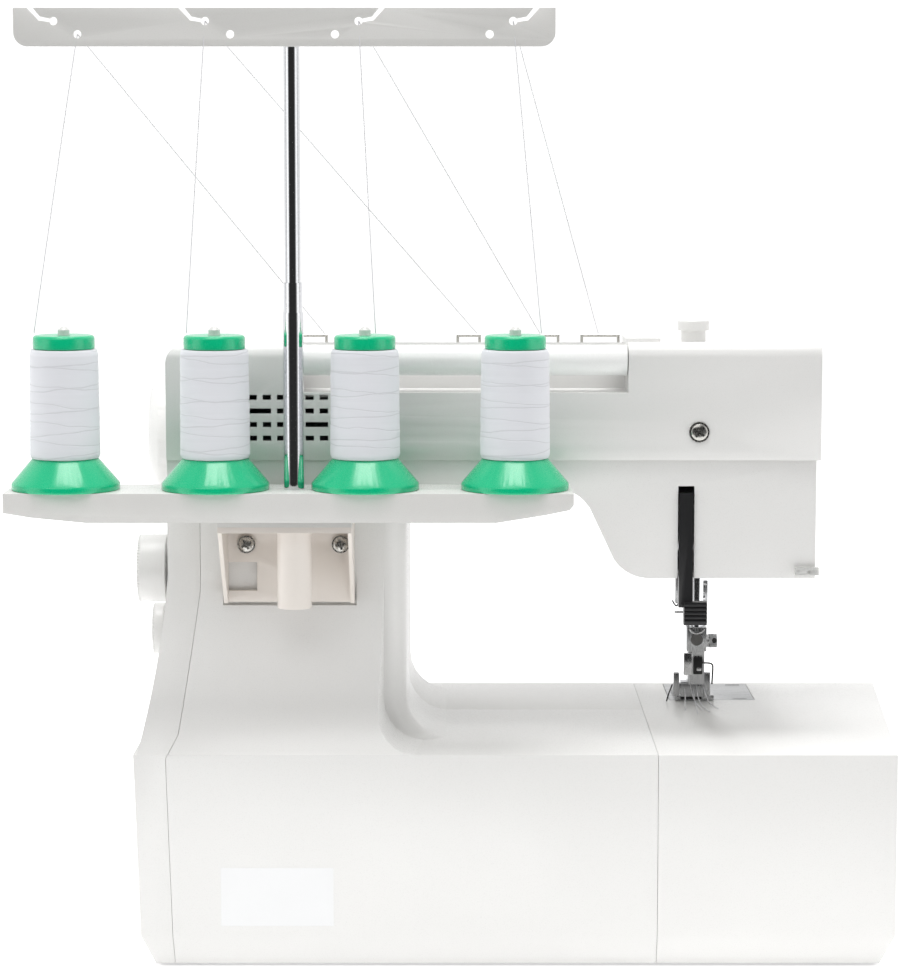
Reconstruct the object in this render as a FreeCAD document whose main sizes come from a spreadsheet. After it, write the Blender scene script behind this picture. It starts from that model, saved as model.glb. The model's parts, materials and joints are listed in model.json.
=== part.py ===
import FreeCAD, Part
import math
import os
import re
import Sketcher

# Home cover-stitch machine with a four-cone thread stand.
# +Z is up, +X is the handwheel side, -Y is the operator's side, and the
# origin is the centre of the footprint on the table.  Sizes are millimetres.

Vector = FreeCAD.Vector
Rotation = FreeCAD.Rotation
doc = FreeCAD.newDocument("cover_stitch_machine")

# Driving dimensions: name and value.  Every name has an underscore in it, so
# that the formulas below can be told apart from functions such as sqrt().
SIZES = """
shell_wall 2.5
seam_gap 0.2
fit_gap 0.3
run_gap 0.05
bed_left 174
bed_right 219
bed_end_slant 17
bed_rear 96
bed_front 112
bed_top 113
bed_floor 1.5
skirt_top 18
skirt_inset 7
left_draft 3
arm_seam 96
seam_foot 154
seam_edge 157.5
seam_column 142
cover_split 30
column_left 159
column_right 34
column_rear 56
column_front 95
column_top 246
flare_top 200
flare_radius 150
side_flare_radius 600
corner_width 12
corner_depth 14
corner_spread 5
foot_fillet 22
foot_reach 40
head_right 180
head_floor 199
head_seam 261
head_curve_x 93
head_curve_radius 22
arm_floor 246.5
arm_curve_x 43
lid_overhang 2
lid_top 322.5
lid_round 8
lid_end_round 11
lid_front_top 315
lid_front_break 55
lid_front_low 284
handle_left 84
handle_right 75
handle_height 17
handle_depth 15
handle_reach 26
vent_left 116
vent_pitch_x 7.4
vent_pitch_z 7.1
vent_width 4.4
vent_height 2.7
vent_low 271.5
shaft_y 66
shaft_z 263
shaft_radius 6
wheel_radius 33.5
wheel_width 18
needle_x 127
presser_y 50
bar_radius 3.4
presser_radius 3.8
slot_left 108
slot_width 8.4
slot_height 46.5
lever_pivot_y 50
lever_pivot_z 240
lever_top 244
tab_low 174.7
tab_high 186.7
tab_left 111.2
tab_right 123.2
lever_width 7.2
holder_low 143
holder_high 156.5
sole_thick 2.7
foot_heel 6
plate_left 113
plate_right 161
plate_rear 58
plate_front 108
plate_thick 2
dial_radius 18
dial_y 20
dial_z 199.5
small_dial_radius 14
small_dial_y 22
small_dial_z 160
tension_radius 19
tension_width 9
tension_pitch 21
tension_x 20
tension_y 82
tension_z 286
mast_x 90.7
mast_y 91
mast_radius 5.3
mast_bore 4.4
mast_foot 190
mast_joint 340
collar_radius 4.8
collar_top 355
upper_radius 4.05
upper_overlap 18
post_radius 8.8
bracket_left 129
bracket_right 61
bracket_foot 187
bracket_top 232
tray_left 236
tray_right 51
tray_rear 113
tray_front 70
tray_top 250
tray_bottom 235.3
spool_pitch 76.3
spool_first 207
spool_flange 27.5
spool_bore 3.4
pin_radius 3
pin_top 332.6
pack_core 11
pack_radius 17.2
pack_foot 16
pack_head 71.5
spool_height 78.5
cap_radius 15.6
bar_left 229
bar_right 41.4
bar_low 473
bar_high 492
bar_thick 3
bar_corner 7
slit_width 1.6
slit_run 12.5
bar_hole 2.1
bar_rear 98
door_left 20
door_right 214
door_low 24
door_high 107
door_thick 3.2
door_gap 0.3
hinge_height 1.6
door_pin_radius 1.2
motor_y 8
motor_z 62
motor_radius 28
belt_x 133
belt_width 8
pulley_radius 22
motor_pulley_radius 8
belt_thick 2
thread_radius 0.25
"""

sheet = doc.addObject("Spreadsheet::Sheet", "Sheet")
for row, line in enumerate(SIZES.split("\n")[1:-1], start=1):
    size_name, size_value = line.split()
    sheet.set("A%d" % row, size_name)
    sheet.set("B%d" % row, size_value)
    sheet.setAlias("B%d" % row, size_name)
doc.recompute()

PARTS = []


def formula(text):
    """Turn the names in a formula into cells of the sheet."""
    return re.sub(r"\b[a-z]+_[a-z_]+\b", lambda name: "Sheet." + name.group(0), str(text))


def number(text):
    """The value that a formula has now."""
    return float(probe.evalExpression(formula(text)))


probe = doc.addObject("App::FeaturePython", "probe")


def finish(node, name):
    """Give a finished sub-part the name of its node."""
    node.Label = name
    PARTS.append(node)
    return node


def place(item, x="0", y="0", z="0", turn=None):
    """Turn an item and tie its place to formulas."""
    if turn is not None:
        item.Placement = FreeCAD.Placement(Vector(), turn)
    for axis, text in zip("xyz", (x, y, z)):
        item.setExpression("Placement.Base." + axis, formula(text))
    return item


def box(name, x, y, z):
    """A block between two formulas along each axis."""
    item = doc.addObject("Part::Box", name)
    for side, (low, high) in zip(("Length", "Width", "Height"), (x, y, z)):
        item.setExpression(side, formula("(%s) - (%s)" % (high, low)))
    return place(item, x[0], y[0], z[0])


ALONG = {"X": Rotation(Vector(0, 1, 0), 90), "Y": Rotation(Vector(1, 0, 0), -90), "Z": Rotation()}


def spot(axis, across, start):
    """Three coordinates from a start along an axis and the two across it."""
    first, second = across
    return {"X": (start, first, second), "Y": (first, start, second),
            "Z": (first, second, start)}[axis]


def rod(name, axis, across, radius, span):
    """A cylinder along an axis, from span[0] to span[1]."""
    item = doc.addObject("Part::Cylinder", name)
    item.setExpression("Radius", formula(radius))
    item.setExpression("Height", formula("(%s) - (%s)" % (span[1], span[0])))
    return place(item, *spot(axis, across, span[0]), turn=ALONG[axis])


def arc_between(start, end, radius, left):
    """The short arc between two points, and whether it runs start to end."""
    chord = end - start
    half = chord.Length / 2
    normal = Vector(-chord.y, chord.x, 0).normalize()
    centre = (start + end) / 2 + normal * math.sqrt(radius * radius - half * half) * (1 if left else -1)
    first, last = (start, end) if left else (end, start)
    angles = [math.atan2(point.y - centre.y, point.x - centre.x) for point in (first, last)]
    return Part.ArcOfCircle(Part.Circle(centre, Vector(0, 0, 1), radius), *angles)


def outline(sketch, corners):
    """Draw a closed outline whose corners are pairs of formulas.

    A corner may add a radius and "left" or "right": the stretch to the next
    corner is then an arc with its centre on that side.
    """
    spots = [Vector(number(corner[0]), number(corner[1]), 0) for corner in corners]
    first_edge = sketch.GeometryCount
    ends = []
    for index, corner in enumerate(corners):
        start, end = spots[index], spots[(index + 1) % len(spots)]
        if len(corner) == 2:
            sketch.addGeometry(Part.LineSegment(start, end), False)
            ends.append((1, 2))
        else:
            left = corner[3] == "left"
            sketch.addGeometry(arc_between(start, end, number(corner[2]), left), False)
            ends.append((1, 2) if left else (2, 1))
    for index, corner in enumerate(corners):
        edge, after = first_edge + index, first_edge + (index + 1) % len(corners)
        sketch.addConstraint(Sketcher.Constraint(
            "Coincident", edge, ends[index][1], after, ends[after - first_edge][0]))
        for kind, text in zip(("DistanceX", "DistanceY"), corner):
            rule = sketch.addConstraint(Sketcher.Constraint(
                kind, -1, 1, edge, ends[index][0], number(text)))
            sketch.setExpression("Constraints[%d]" % rule, formula(text))
        if len(corner) == 4:
            rule = sketch.addConstraint(Sketcher.Constraint("Radius", edge, number(corner[2])))
            sketch.setExpression("Constraints[%d]" % rule, formula(corner[2]))


FACING = {"XY": ("Z", Rotation()), "XZ": ("Y", Rotation(Vector(1, 0, 0), 90)),
          "YZ": ("X", Rotation(Vector(1, 1, 1), 120))}


def prism(name, plane, corners, span):
    """An outline in a plane, extruded across it from span[0] to span[1]."""
    axis, turn = FACING[plane]
    sketch = doc.addObject("Sketcher::SketchObject", name + "_outline")
    place(sketch, *spot(axis, ("0", "0"), span[0]), turn=turn)
    outline(sketch, corners)
    item = doc.addObject("Part::Extrusion", name)
    item.Base = sketch
    item.DirMode = "Custom"
    item.Dir = {"X": Vector(1, 0, 0), "Y": Vector(0, 1, 0), "Z": Vector(0, 0, 1)}[axis]
    item.Solid = True
    item.setExpression("LengthFwd", formula("(%s) - (%s)" % (span[1], span[0])))
    return item


def joined(name, items):
    item = doc.addObject("Part::MultiFuse", name)
    item.Shapes = items
    return item


def shared(name, items):
    item = doc.addObject("Part::MultiCommon", name)
    item.Shapes = items
    return item


def cut(name, base, tools):
    item = doc.addObject("Part::Cut", name)
    item.Base = base
    item.Tool = tools[0] if len(tools) == 1 else joined(name + "_tools", tools)
    return item


def turned(name, axis, across, start, corners, flip=False):
    """A turned piece: its half profile has corners (radius, height)."""
    body = doc.addObject("PartDesign::Body", name)
    sketch = body.newObject("Sketcher::SketchObject", name + "_profile")
    upright = next(item for item in body.Origin.OriginFeatures if item.Role == "XZ_Plane")
    sketch.AttachmentSupport = [(upright, "")]
    sketch.MapMode = "FlatFace"
    outline(sketch, corners)
    spin = body.newObject("PartDesign::Revolution", name + "_spin")
    spin.Profile = sketch
    spin.ReferenceAxis = (sketch, ["V_Axis"])
    spin.Angle = 360
    body.Tip = spin
    turn = ALONG[axis]
    if flip:
        turn = turn.multiply(Rotation(Vector(1, 0, 0), 180))
    return place(body, *spot(axis, across, start), turn=turn)


# ---------------------------------------------------------------- casings

def bed_block(name, inset, floor, top):
    """The bed: a block that narrows to its foot and slants at the arm end."""
    heights = [floor, "skirt_top", top]
    narrow = ["skirt_inset", "0", "0"]
    draft = ["left_draft", "left_draft", "0"]
    sections = []
    for level, (height, step, lean) in enumerate(zip(heights, narrow, draft)):
        sketch = doc.addObject("Sketcher::SketchObject", "%s_section_%d" % (name, level + 1))
        place(sketch, z=height)
        side = "(%s) + (%s)" % (inset, step)
        outline(sketch, [
            ("bed_left - (%s) - (%s)" % (lean, side), "bed_rear - (%s)" % side),
            ("-bed_right + (%s)" % side, "bed_rear - (%s)" % side),
            ("-bed_right - bed_end_slant + (%s)" % side, "-bed_front + (%s)" % side),
            ("bed_left - (%s) - (%s)" % (lean, side), "-bed_front + (%s)" % side)])
        sections.append(sketch)
    block = doc.addObject("Part::Loft", name)
    block.Sections = sections
    block.Solid = True
    block.Ruled = True
    return block


def column_block(name, inset, floor, top):
    """The column: upright above, flaring out to the bed's rear and left edges."""
    left = "column_left - (%s)" % inset
    foot_left = "bed_left - 2 - (%s)" % inset
    rear = "column_rear - (%s)" % inset
    foot_rear = "bed_rear - (%s)" % inset
    front = "-column_front + (%s)" % inset
    right = "column_right + (%s)" % inset
    across = prism(name + "_across", "XZ", [
        ("-bed_right", floor), (foot_left, floor),
        (foot_left, "bed_top", "side_flare_radius + (%s)" % inset, "right"),
        (left, "flare_top"), (left, top), ("-bed_right", top)], (front, foot_rear))
    along = prism(name + "_along", "YZ", [
        (front, floor), (foot_rear, floor),
        (foot_rear, "bed_top", "flare_radius + (%s)" % inset, "right"),
        (rear, "flare_top"), (rear, top), (front, top)], ("-bed_right", "bed_left"))
    corner_x = "column_right + corner_width + (%s)" % inset
    plan = prism(name + "_plan", "XY", [
        (right, front), ("bed_left", front), ("bed_left", "bed_rear"),
        (corner_x + " + corner_spread", "bed_rear"),
        (corner_x, rear, "corner_depth + 1", "left"),
        (right, "column_rear - corner_depth - (%s)" % inset)], (floor, top))
    return shared(name, [across, along, plan])


def foot_block(name):
    """The column's foot on the right and at its rear corner, swept out to meet the bed."""
    sections = []
    for level, (sink, share) in enumerate(FOOT_LEVELS):
        spread = "foot_fillet*(1 - sqrt(1 - (1 - %s)^2))" % share
        sketch = doc.addObject("Sketcher::SketchObject", "%s_section_%d" % (name, level + 1))
        place(sketch, z="bed_top - %s + foot_fillet*%s" % (sink, share))
        corner_x = "column_right + corner_width - " + spread
        outline(sketch, [
            ("column_right - " + spread, "-column_front"), ("column_right + foot_reach", "-column_front"),
            ("column_right + foot_reach", "bed_rear"), (corner_x + " + corner_spread", "bed_rear"),
            (corner_x, "column_rear", "corner_depth + 1", "left"),
            ("column_right - " + spread, "column_rear - corner_depth")])
        sections.append(sketch)
    sweep = doc.addObject("Part::Loft", name + "_sweep")
    sweep.Sections = sections
    sweep.Solid = True
    sweep.Ruled = True
    slope = prism(name + "_slope", "YZ", [
        ("-column_front", "bed_top - 3"), ("bed_rear", "bed_top - 3"),
        ("bed_rear", "bed_top", "flare_radius", "right"),
        ("column_rear", "flare_top"), ("-column_front", "flare_top")],
        ("-bed_right", "bed_left"))
    return shared(name, [sweep, slope])


# How far each section of the foot is sunk in the bed, and its height as a share of the fillet.
FOOT_LEVELS = (("2", "0"), ("0", "0.002"), ("0", "0.05"), ("0", "0.14"), ("0", "0.28"), ("0", "0.48"),
               ("0", "0.72"), ("0", "1"))


def lower_casing():
    """Bed and column as one hollow shape, to be divided into its covers."""
    outer = joined("casing_outer", [
        bed_block("bed_outer", "0", "bed_floor", "bed_top"),
        column_block("column_outer", "0", "bed_top - 3", "column_top"),
        foot_block("column_foot")])
    inner = joined("casing_inner", [
        bed_block("bed_inner", "shell_wall", "bed_floor - 1", "bed_top - shell_wall"),
        column_block("column_inner", "shell_wall", "bed_top - 10", "column_top + 1")])
    return cut("casing", outer, [inner])


def side_region(name, clearance, left):
    """Everything on one side of the seam beside the side cover."""
    far = "bed_left + 30" if left else "-arm_seam + seam_gap"
    seam = [("seam_foot", "-1"), ("seam_edge", "bed_top - 2"), ("seam_edge - 6", "bed_top + 9"),
            ("seam_column", "flare_top - 7"), ("seam_column", "head_seam + 1")]
    line = [(across + " - (%s)" % clearance, up) for across, up in seam]
    corners = [(far, "-1")] + line + [(far, "head_seam + 1")]
    return prism(name, "XZ", corners, ("-bed_front - 5", "bed_rear + 5"))


def casing_covers():
    """Side, rear, front and arm end covers, with the openings of each."""
    casing = lower_casing()
    reach = ("-bed_front - 5", "bed_rear + 5")
    dial_bore = rod("dial_bore", "X", ("dial_y", "dial_z"), "4.3", ("seam_column", "bed_left + 9"))
    small_bore = rod("small_dial_bore", "X", ("-small_dial_y", "small_dial_z"), "4.3",
                     ("seam_column", "bed_left + 9"))
    inlet_hole = box("inlet_hole", ("seam_edge + 3", "bed_left + 5"), ("-20", "12"), ("28", "52"))
    switch_hole = box("switch_hole", ("seam_edge + 3", "bed_left + 5"), ("24", "40"), ("28", "52"))
    left_part = shared("left_part", [casing, side_region("left_of_seam", "0", True)])
    finish(cut("side_cover_shape", left_part, [dial_bore, small_bore, inlet_hole, switch_hole]),
           "side_cover")
    middle = side_region("right_of_seam", "seam_gap", False)
    rear_half = box("rear_half", ("-arm_seam", "bed_left + 5"), ("-cover_split + seam_gap", "bed_rear + 5"),
                    ("-1", "head_seam"))
    bracket_room = box("bracket_room", ("bracket_right - 1", "bracket_left + 1"),
                       ("column_rear", "column_rear + 20"), ("bracket_foot - 2", "flare_top + 1"))
    rear = shared("rear_part", [casing, middle, rear_half])
    finish(cut("rear_cover_shape", rear, [bracket_room]), "rear_cover")
    front_half = box("front_half", ("-arm_seam", "bed_left + 5"), ("-bed_front - 5", "-cover_split"),
                     ("-1", "head_seam"))
    door_hole = box("front_door_hole", ("-door_right + 6", "door_left - 6"),
                    ("-bed_front - 5", "-bed_front + 9"), ("door_low + 8", "door_high - 6"))
    ears = [hinge_ear("left", ("door_left + 0.5", "door_left + 4.5")),
            hinge_ear("right", ("-door_right - 4.5", "-door_right - 0.5"))]
    plate_hole = box("plate_hole", ("-plate_right - fit_gap", "-plate_left + fit_gap"),
                     ("-plate_front - fit_gap", "-plate_rear + fit_gap"),
                     ("bed_top - 8", "bed_top + 5"))
    front = shared("front_part", [casing, middle, front_half])
    finish(joined("front_cover_shape", [cut("front_opened", front, [door_hole]), ears[0]]), "front_cover")
    arm_end = box("arm_end_region", ("-bed_right - bed_end_slant - 5", "-arm_seam"), reach,
                  ("-1", "head_seam"))
    end_part = shared("arm_end_part", [casing, arm_end])
    opened = cut("arm_end_opened", end_part, [door_hole, plate_hole])
    finish(joined("arm_end_shape", [opened, ears[1]]), "arm_end_cover")


def hinge_ear(side, span):
    """Ear on the front of the bed that holds one end of the door's pin."""
    block = box("hinge_ear_" + side, span, ("-bed_front - door_gap - door_thick", "-bed_front + 1"),
                ("door_low - 1.5", "door_low + 2*hinge_height + 1.5"))
    bore = rod("hinge_bore_" + side, "X", ("-bed_front - door_gap - door_thick/2", "door_low + hinge_height"),
               "door_pin_radius + run_gap", span)
    return cut("hinge_ear_cut_" + side, block, [bore])


def base_plate():
    """Sheet-metal floor inside the foot of the bed, with three vent slots."""
    edge = "skirt_inset + shell_wall + fit_gap + 0.6"
    floor = prism("floor_sheet", "XY", [
        ("bed_left - left_draft - (%s)" % edge, "bed_rear - (%s)" % edge),
        ("-bed_right + (%s)" % edge, "bed_rear - (%s)" % edge),
        ("-bed_right - bed_end_slant + (%s)" % edge, "-bed_front + (%s)" % edge),
        ("bed_left - left_draft - (%s)" % edge, "-bed_front + (%s)" % edge)],
        ("bed_floor + 0.5", "bed_floor + 2.5"))
    slots = [box("floor_slot_%d" % (row + 1), ("60", "110"), ("%d" % (row * 9), "%d" % (row * 9 + 4)),
                 ("0", "6")) for row in range(3)]
    finish(cut("base_plate_shape", floor, slots), "base_plate")


def rubber_feet():
    """Four feet under the floor sheet."""
    feet = [rod("foot_%s_%s" % (side, end), "Z", (across, along), "8", ("0", "bed_floor + 0.5"))
            for side, across in (("left", "140"), ("right", "-190"))
            for end, along in (("rear", "66"), ("front", "-84"))]
    group = doc.addObject("Part::Compound", "rubber_feet_group")
    group.Links = feet
    finish(group, "rubber_feet")


def head_block(name, inset, top):
    """Arm and needle head below the lid, with its curved underside."""
    return prism(name, "XZ", [
        ("-head_right + (%s)" % inset, "head_floor + (%s)" % inset),
        ("-head_curve_x", "head_floor + (%s)" % inset, "head_curve_radius - (%s)" % inset, "left"),
        ("-head_curve_x + 0.839*(head_curve_radius - (%s))" % inset,
         "head_floor + (%s) + 0.455*(head_curve_radius - (%s))" % (inset, inset)),
        ("-arm_curve_x - 0.866*(head_curve_radius + (%s))" % inset,
         "arm_floor - 0.5*head_curve_radius + 0.5*(%s)" % inset,
         "head_curve_radius + (%s)" % inset, "right"),
        ("-arm_curve_x", "arm_floor + (%s)" % inset),
        ("column_left - (%s)" % inset, "arm_floor + (%s)" % inset),
        ("column_left - (%s)" % inset, top), ("-head_right + (%s)" % inset, top)],
        ("-column_front + (%s)" % inset, "column_rear - (%s)" % inset))


def head_cover():
    """Lower casing of the arm and head, open above to the lid."""
    outer = head_block("head_outer", "0", "head_seam")
    inner = head_block("head_inner", "shell_wall", "head_seam + 1")
    bar_hole = box("bar_hole", ("-needle_x - 15", "-needle_x + 15"), ("-shaft_y - 14", "-presser_y + 12"),
                   ("head_floor - 1", "head_floor + 5"))
    slot = box("lever_slot", ("-slot_left - slot_width", "-slot_left"),
               ("column_rear - 5", "column_rear + 1"), ("head_floor - 1", "head_floor + slot_height + 2"))
    slot_relief = box("lever_slot_relief", ("-slot_left - slot_width", "-slot_left"),
                      ("column_rear - 5", "column_rear - 0.8"), ("lever_pivot_z", "lever_pivot_z + 12"))
    slot_foot = box("lever_slot_foot", ("-slot_left - slot_width", "-slot_left"),
                    ("column_rear - 18", "column_rear + 1"), ("head_floor - 1", "head_floor + 4"))
    well = box("column_well", ("column_right + corner_width + 5", "column_left - 5"),
               ("-column_front + shell_wall + 0.5", "column_rear - 6"), ("arm_floor - 1", "arm_floor + 5"))
    shaft_notch = rod("shaft_notch", "X", ("-shaft_y", "shaft_z"), "shaft_radius + 1",
                      ("column_left - 5", "column_left + 5"))
    finish(cut("head_cover_shape", outer, [inner, bar_hole, slot, slot_relief, slot_foot, well, shaft_notch]),
           "head_cover")


def lid_block(name, inset, floor):
    """The lid over the arm, rounded along its top edges."""
    rear = "column_rear + lid_overhang - (%s)" % inset
    front = "-column_front - lid_overhang + (%s)" % inset
    profile = prism(name + "_profile", "YZ", [
        (front, floor), (rear, floor),
        (rear, "lid_top - lid_round", "lid_round - (%s)" % inset, "left"),
        ("column_rear + lid_overhang - lid_round", "lid_top - (%s)" % inset),
        ("-lid_front_break", "lid_front_top - (%s)" % inset, "70", "left"),
        (front, "lid_front_low - (%s)" % inset)],
        ("-head_right - lid_overhang + (%s)" % inset, "column_left - (%s)" % inset))
    left = "column_left - (%s)" % inset
    right = "-head_right - lid_overhang + (%s)" % inset
    ends = prism(name + "_ends", "XZ", [
        (right, floor), (left, floor),
        (left, "lid_top - lid_end_round", "lid_end_round - (%s)" % inset, "left"),
        ("column_left - lid_end_round", "lid_top - (%s)" % inset),
        ("-head_right - lid_overhang + 4", "lid_top - (%s)" % inset, "4 - (%s)" % inset, "left"),
        (right, "lid_top - 4")], (front, rear))
    return shared(name, [profile, ends])


def top_cover():
    """Lid with a well for the handle, the vent and the bores of its controls."""
    outer = lid_block("lid_outer", "0", "head_seam + seam_gap")
    inner = lid_block("lid_inner", "shell_wall", "head_seam - 1")
    rear = "column_rear + lid_overhang"
    well_floor = "lid_top - handle_height - 9"
    well_wall = shared("well_wall", [outer, box(
        "well_block", ("-handle_right - 9", "handle_left + 9"),
        (rear + " - handle_reach - 9", rear + " + 1"), (well_floor + " - shell_wall", "lid_top + 1"))])
    well = box("well_space", ("-handle_right - 6.5", "handle_left + 6.5"),
               (rear + " - handle_reach - 6.5", rear + " + 2"), (well_floor, "lid_top + 2"))
    guide_pad = box("guide_pad", ("-103", "-84"), ("-46", "-12"), ("309", "320.5"))
    vents = []
    for row in range(4):
        for column in range(6):
            if (row, column) == (2, 3):
                continue
            start = "vent_left - %d*vent_pitch_x" % column
            wide = "vent_width + vent_pitch_x" if (row, column) in ((2, 0), (1, 4)) else "vent_width"
            low = "vent_low + %d*vent_pitch_z" % row
            vents.append(box("vent_%d_%d" % (row, column), (start + " - (%s)" % wide, start),
                             (rear + " - 4", rear + " + 1"), (low, low + " + vent_height")))
    press_bore = rod("press_bore", "Z", ("-123.9", "-presser_y"), "7.4", ("300", "330"))
    shaft_bore = rod("wheel_bore", "X", ("-shaft_y", "shaft_z"), "shaft_radius + 1",
                     ("column_left - 5", "column_left + 5"))
    guide_bores = [rod("guide_bore_%d" % number_, "Z", (across, "-30"), "0.85", ("300", "330"))
                   for number_, across in enumerate(GUIDE_LEGS)]
    tension_slots = [tension_slot(dial) for dial in range(4)]
    screw = rod("screw_seat", "Y", ("-118.5", "276"), "5.3", (rear + " - 1.2", rear + " + 1"))
    shell = joined("lid_shell", [cut("lid_hollow", outer, [inner]), well_wall, guide_pad])
    finish(cut("top_cover_shape", shell, [well, press_bore, shaft_bore, screw]
               + guide_bores + tension_slots + vents), "top_cover")


GUIDE_LEGS = ["93", "79", "7", "-5", "-36", "-48", "-61", "-81"]


def tension_centre(dial):
    return "tension_x - %d*tension_pitch" % dial


def tension_slot(dial):
    """Slot in the lid's front for one tension dial."""
    return box("tension_slot_%d" % (dial + 1),
               (tension_centre(dial) + " - tension_width/2 - 0.8",
                tension_centre(dial) + " + tension_width/2 + 0.8"),
               ("-column_front - 20", "-tension_y + tension_radius + 1"),
               ("tension_z - tension_radius - 1", "tension_z + tension_radius + 1"))


# ------------------------------------------------------------- mechanism

def frame_casting():
    """Cast bed, post and arm that carry every shaft."""
    bed = box("cast_bed", ("-195", "112"), ("-40", "40"), ("bed_floor + 2.5", "24"))
    post = box("cast_post", ("62", "112"), ("-34", "-6"), ("20", "270"))
    arm = box("cast_arm", ("-160", "124"), ("-34", "-6"), ("252", "276"))
    lugs = [box("shaft_lug_%s" % side, span, ("-shaft_y - 14", "-20"), ("shaft_z - 14", "shaft_z + 12"))
            for side, span in (("left", ("112", "124")), ("right", ("-96", "-84")))]
    guide = box("bar_guide", ("-needle_x - 12", "-needle_x + 12"), ("-shaft_y - 10", "-20"), ("212", "226"))
    cheek = box("head_cheek", ("-160", "-needle_x - 8"), ("-34", "-6"), ("212", "256"))
    web = box("head_web", ("-160", "-needle_x + 12"), ("-34", "-20"), ("212", "256"))
    looper_lug = box("looper_lug", ("-108", "-88"), ("-90", "-30"), ("10", "62"))
    motor_shelf = box("motor_shelf", ("62", "112"), ("-34", "motor_y + 30"), ("20", "30"))
    shelf_dip = rod("shelf_dip", "X", ("motor_y", "motor_z"), "motor_radius + fit_gap/6", ("40", "118"))
    shaft_bore = rod("cast_shaft_bore", "X", ("-shaft_y", "shaft_z"), "shaft_radius + run_gap",
                     ("-100", "130"))
    needle_bore = rod("cast_needle_bore", "Z", ("-needle_x", "-shaft_y"), "bar_radius + run_gap",
                      ("200", "240"))
    presser_bore = rod("cast_presser_bore", "Z", ("-needle_x", "-presser_y"),
                       "presser_radius + run_gap", ("200", "240"))
    looper_bore = rod("cast_looper_bore", "Y", ("-98", "50"), "5 + run_gap", ("-95", "0"))
    solid = joined("casting_solid", [bed, post, arm, guide, cheek, web, looper_lug, motor_shelf] + lugs)
    finish(cut("frame_casting_shape", solid,
               [shaft_bore, needle_bore, presser_bore, looper_bore, shelf_dip]), "frame_casting")


def drive():
    """Motor, belt, main shaft and handwheel."""
    can = rod("motor_can", "X", ("motor_y", "motor_z"), "motor_radius", ("50", "118"))
    boss = rod("motor_boss", "X", ("motor_y", "motor_z"), "12", ("118", "122"))
    spindle_bore = rod("spindle_bore", "X", ("motor_y", "motor_z"), "3 + run_gap", ("100", "125"))
    finish(cut("motor_shape", joined("motor_solid", [can, boss]), [spindle_bore]), "motor")
    wheel = rod("small_wheel", "X", ("motor_y", "motor_z"), "motor_pulley_radius",
                ("belt_x - belt_width/2 - 2", "belt_x + belt_width/2 + 2"))
    spindle = rod("small_spindle", "X", ("motor_y", "motor_z"), "3", ("102", "belt_x"))
    finish(joined("motor_pulley_shape", [wheel, spindle]), "motor_pulley")
    shaft = rod("shaft_bar", "X", ("-shaft_y", "shaft_z"), "shaft_radius", ("-116", "column_left + 12"))
    crank = rod("shaft_crank", "X", ("-shaft_y", "shaft_z"), "15", ("-116", "-110"))
    finish(joined("main_shaft_shape", [shaft, crank]), "main_shaft")
    rim = rod("pulley_rim", "X", ("-shaft_y", "shaft_z"), "pulley_radius",
              ("belt_x - belt_width/2 - 2", "belt_x + belt_width/2 + 2"))
    eye = rod("pulley_eye", "X", ("-shaft_y", "shaft_z"), "shaft_radius",
              ("belt_x - 20", "belt_x + 20"))
    finish(cut("shaft_pulley_shape", rim, [eye]), "shaft_pulley")
    finish(turned("handwheel_shape", "X", ("-shaft_y", "shaft_z"), "column_left + 1.5", [
        ("shaft_radius", "0"), ("wheel_radius - 3", "0"), ("wheel_radius", "3"),
        ("wheel_radius", "wheel_width - 6", "14", "left"), ("wheel_radius - 7", "wheel_width"),
        ("0.001", "wheel_width + 1.5"), ("0.001", "10.5"), ("shaft_radius", "10.5")]), "handwheel")
    drive_belt()


def drive_belt():
    """Belt wrapped round both pulleys, worked out from their common tangents."""
    size = {name: number(name) for name in (
        "motor_y", "motor_z", "shaft_y", "shaft_z", "pulley_radius", "motor_pulley_radius",
        "belt_thick", "belt_x", "belt_width")}
    large = Vector(0, -size["shaft_y"], size["shaft_z"])
    small = Vector(0, size["motor_y"], size["motor_z"])
    line = small - large
    lean = math.acos((size["pulley_radius"] - size["motor_pulley_radius"]) / line.Length)
    heading = math.atan2(line.z, line.y)

    def loop(extra):
        """Wire of the belt's face at a height above the pulleys."""
        rims = []
        for centre, radius in ((large, size["pulley_radius"]), (small, size["motor_pulley_radius"])):
            rims.append([centre + Vector(0, math.cos(angle), math.sin(angle)) * (radius + extra)
                         for angle in (heading + lean, heading - lean)])
        back = large - line.normalize() * (size["pulley_radius"] + extra)
        nose = small + line * (size["motor_pulley_radius"] + extra)
        return Part.Face(Part.Wire([
            Part.Arc(rims[0][0], back, rims[0][1]).toShape(),
            Part.LineSegment(rims[0][1], rims[1][1]).toShape(),
            Part.Arc(rims[1][1], nose, rims[1][0]).toShape(),
            Part.LineSegment(rims[1][0], rims[0][0]).toShape()]))

    width = Vector(size["belt_width"], 0, 0)
    belt = doc.addObject("Part::Feature", "drive_belt_shape")
    belt.Shape = loop(size["belt_thick"]).extrude(width).cut(loop(0).extrude(width))
    belt.Placement = FreeCAD.Placement(Vector(size["belt_x"] - size["belt_width"] / 2, 0, 0), Rotation())
    finish(belt, "drive_belt")


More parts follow.
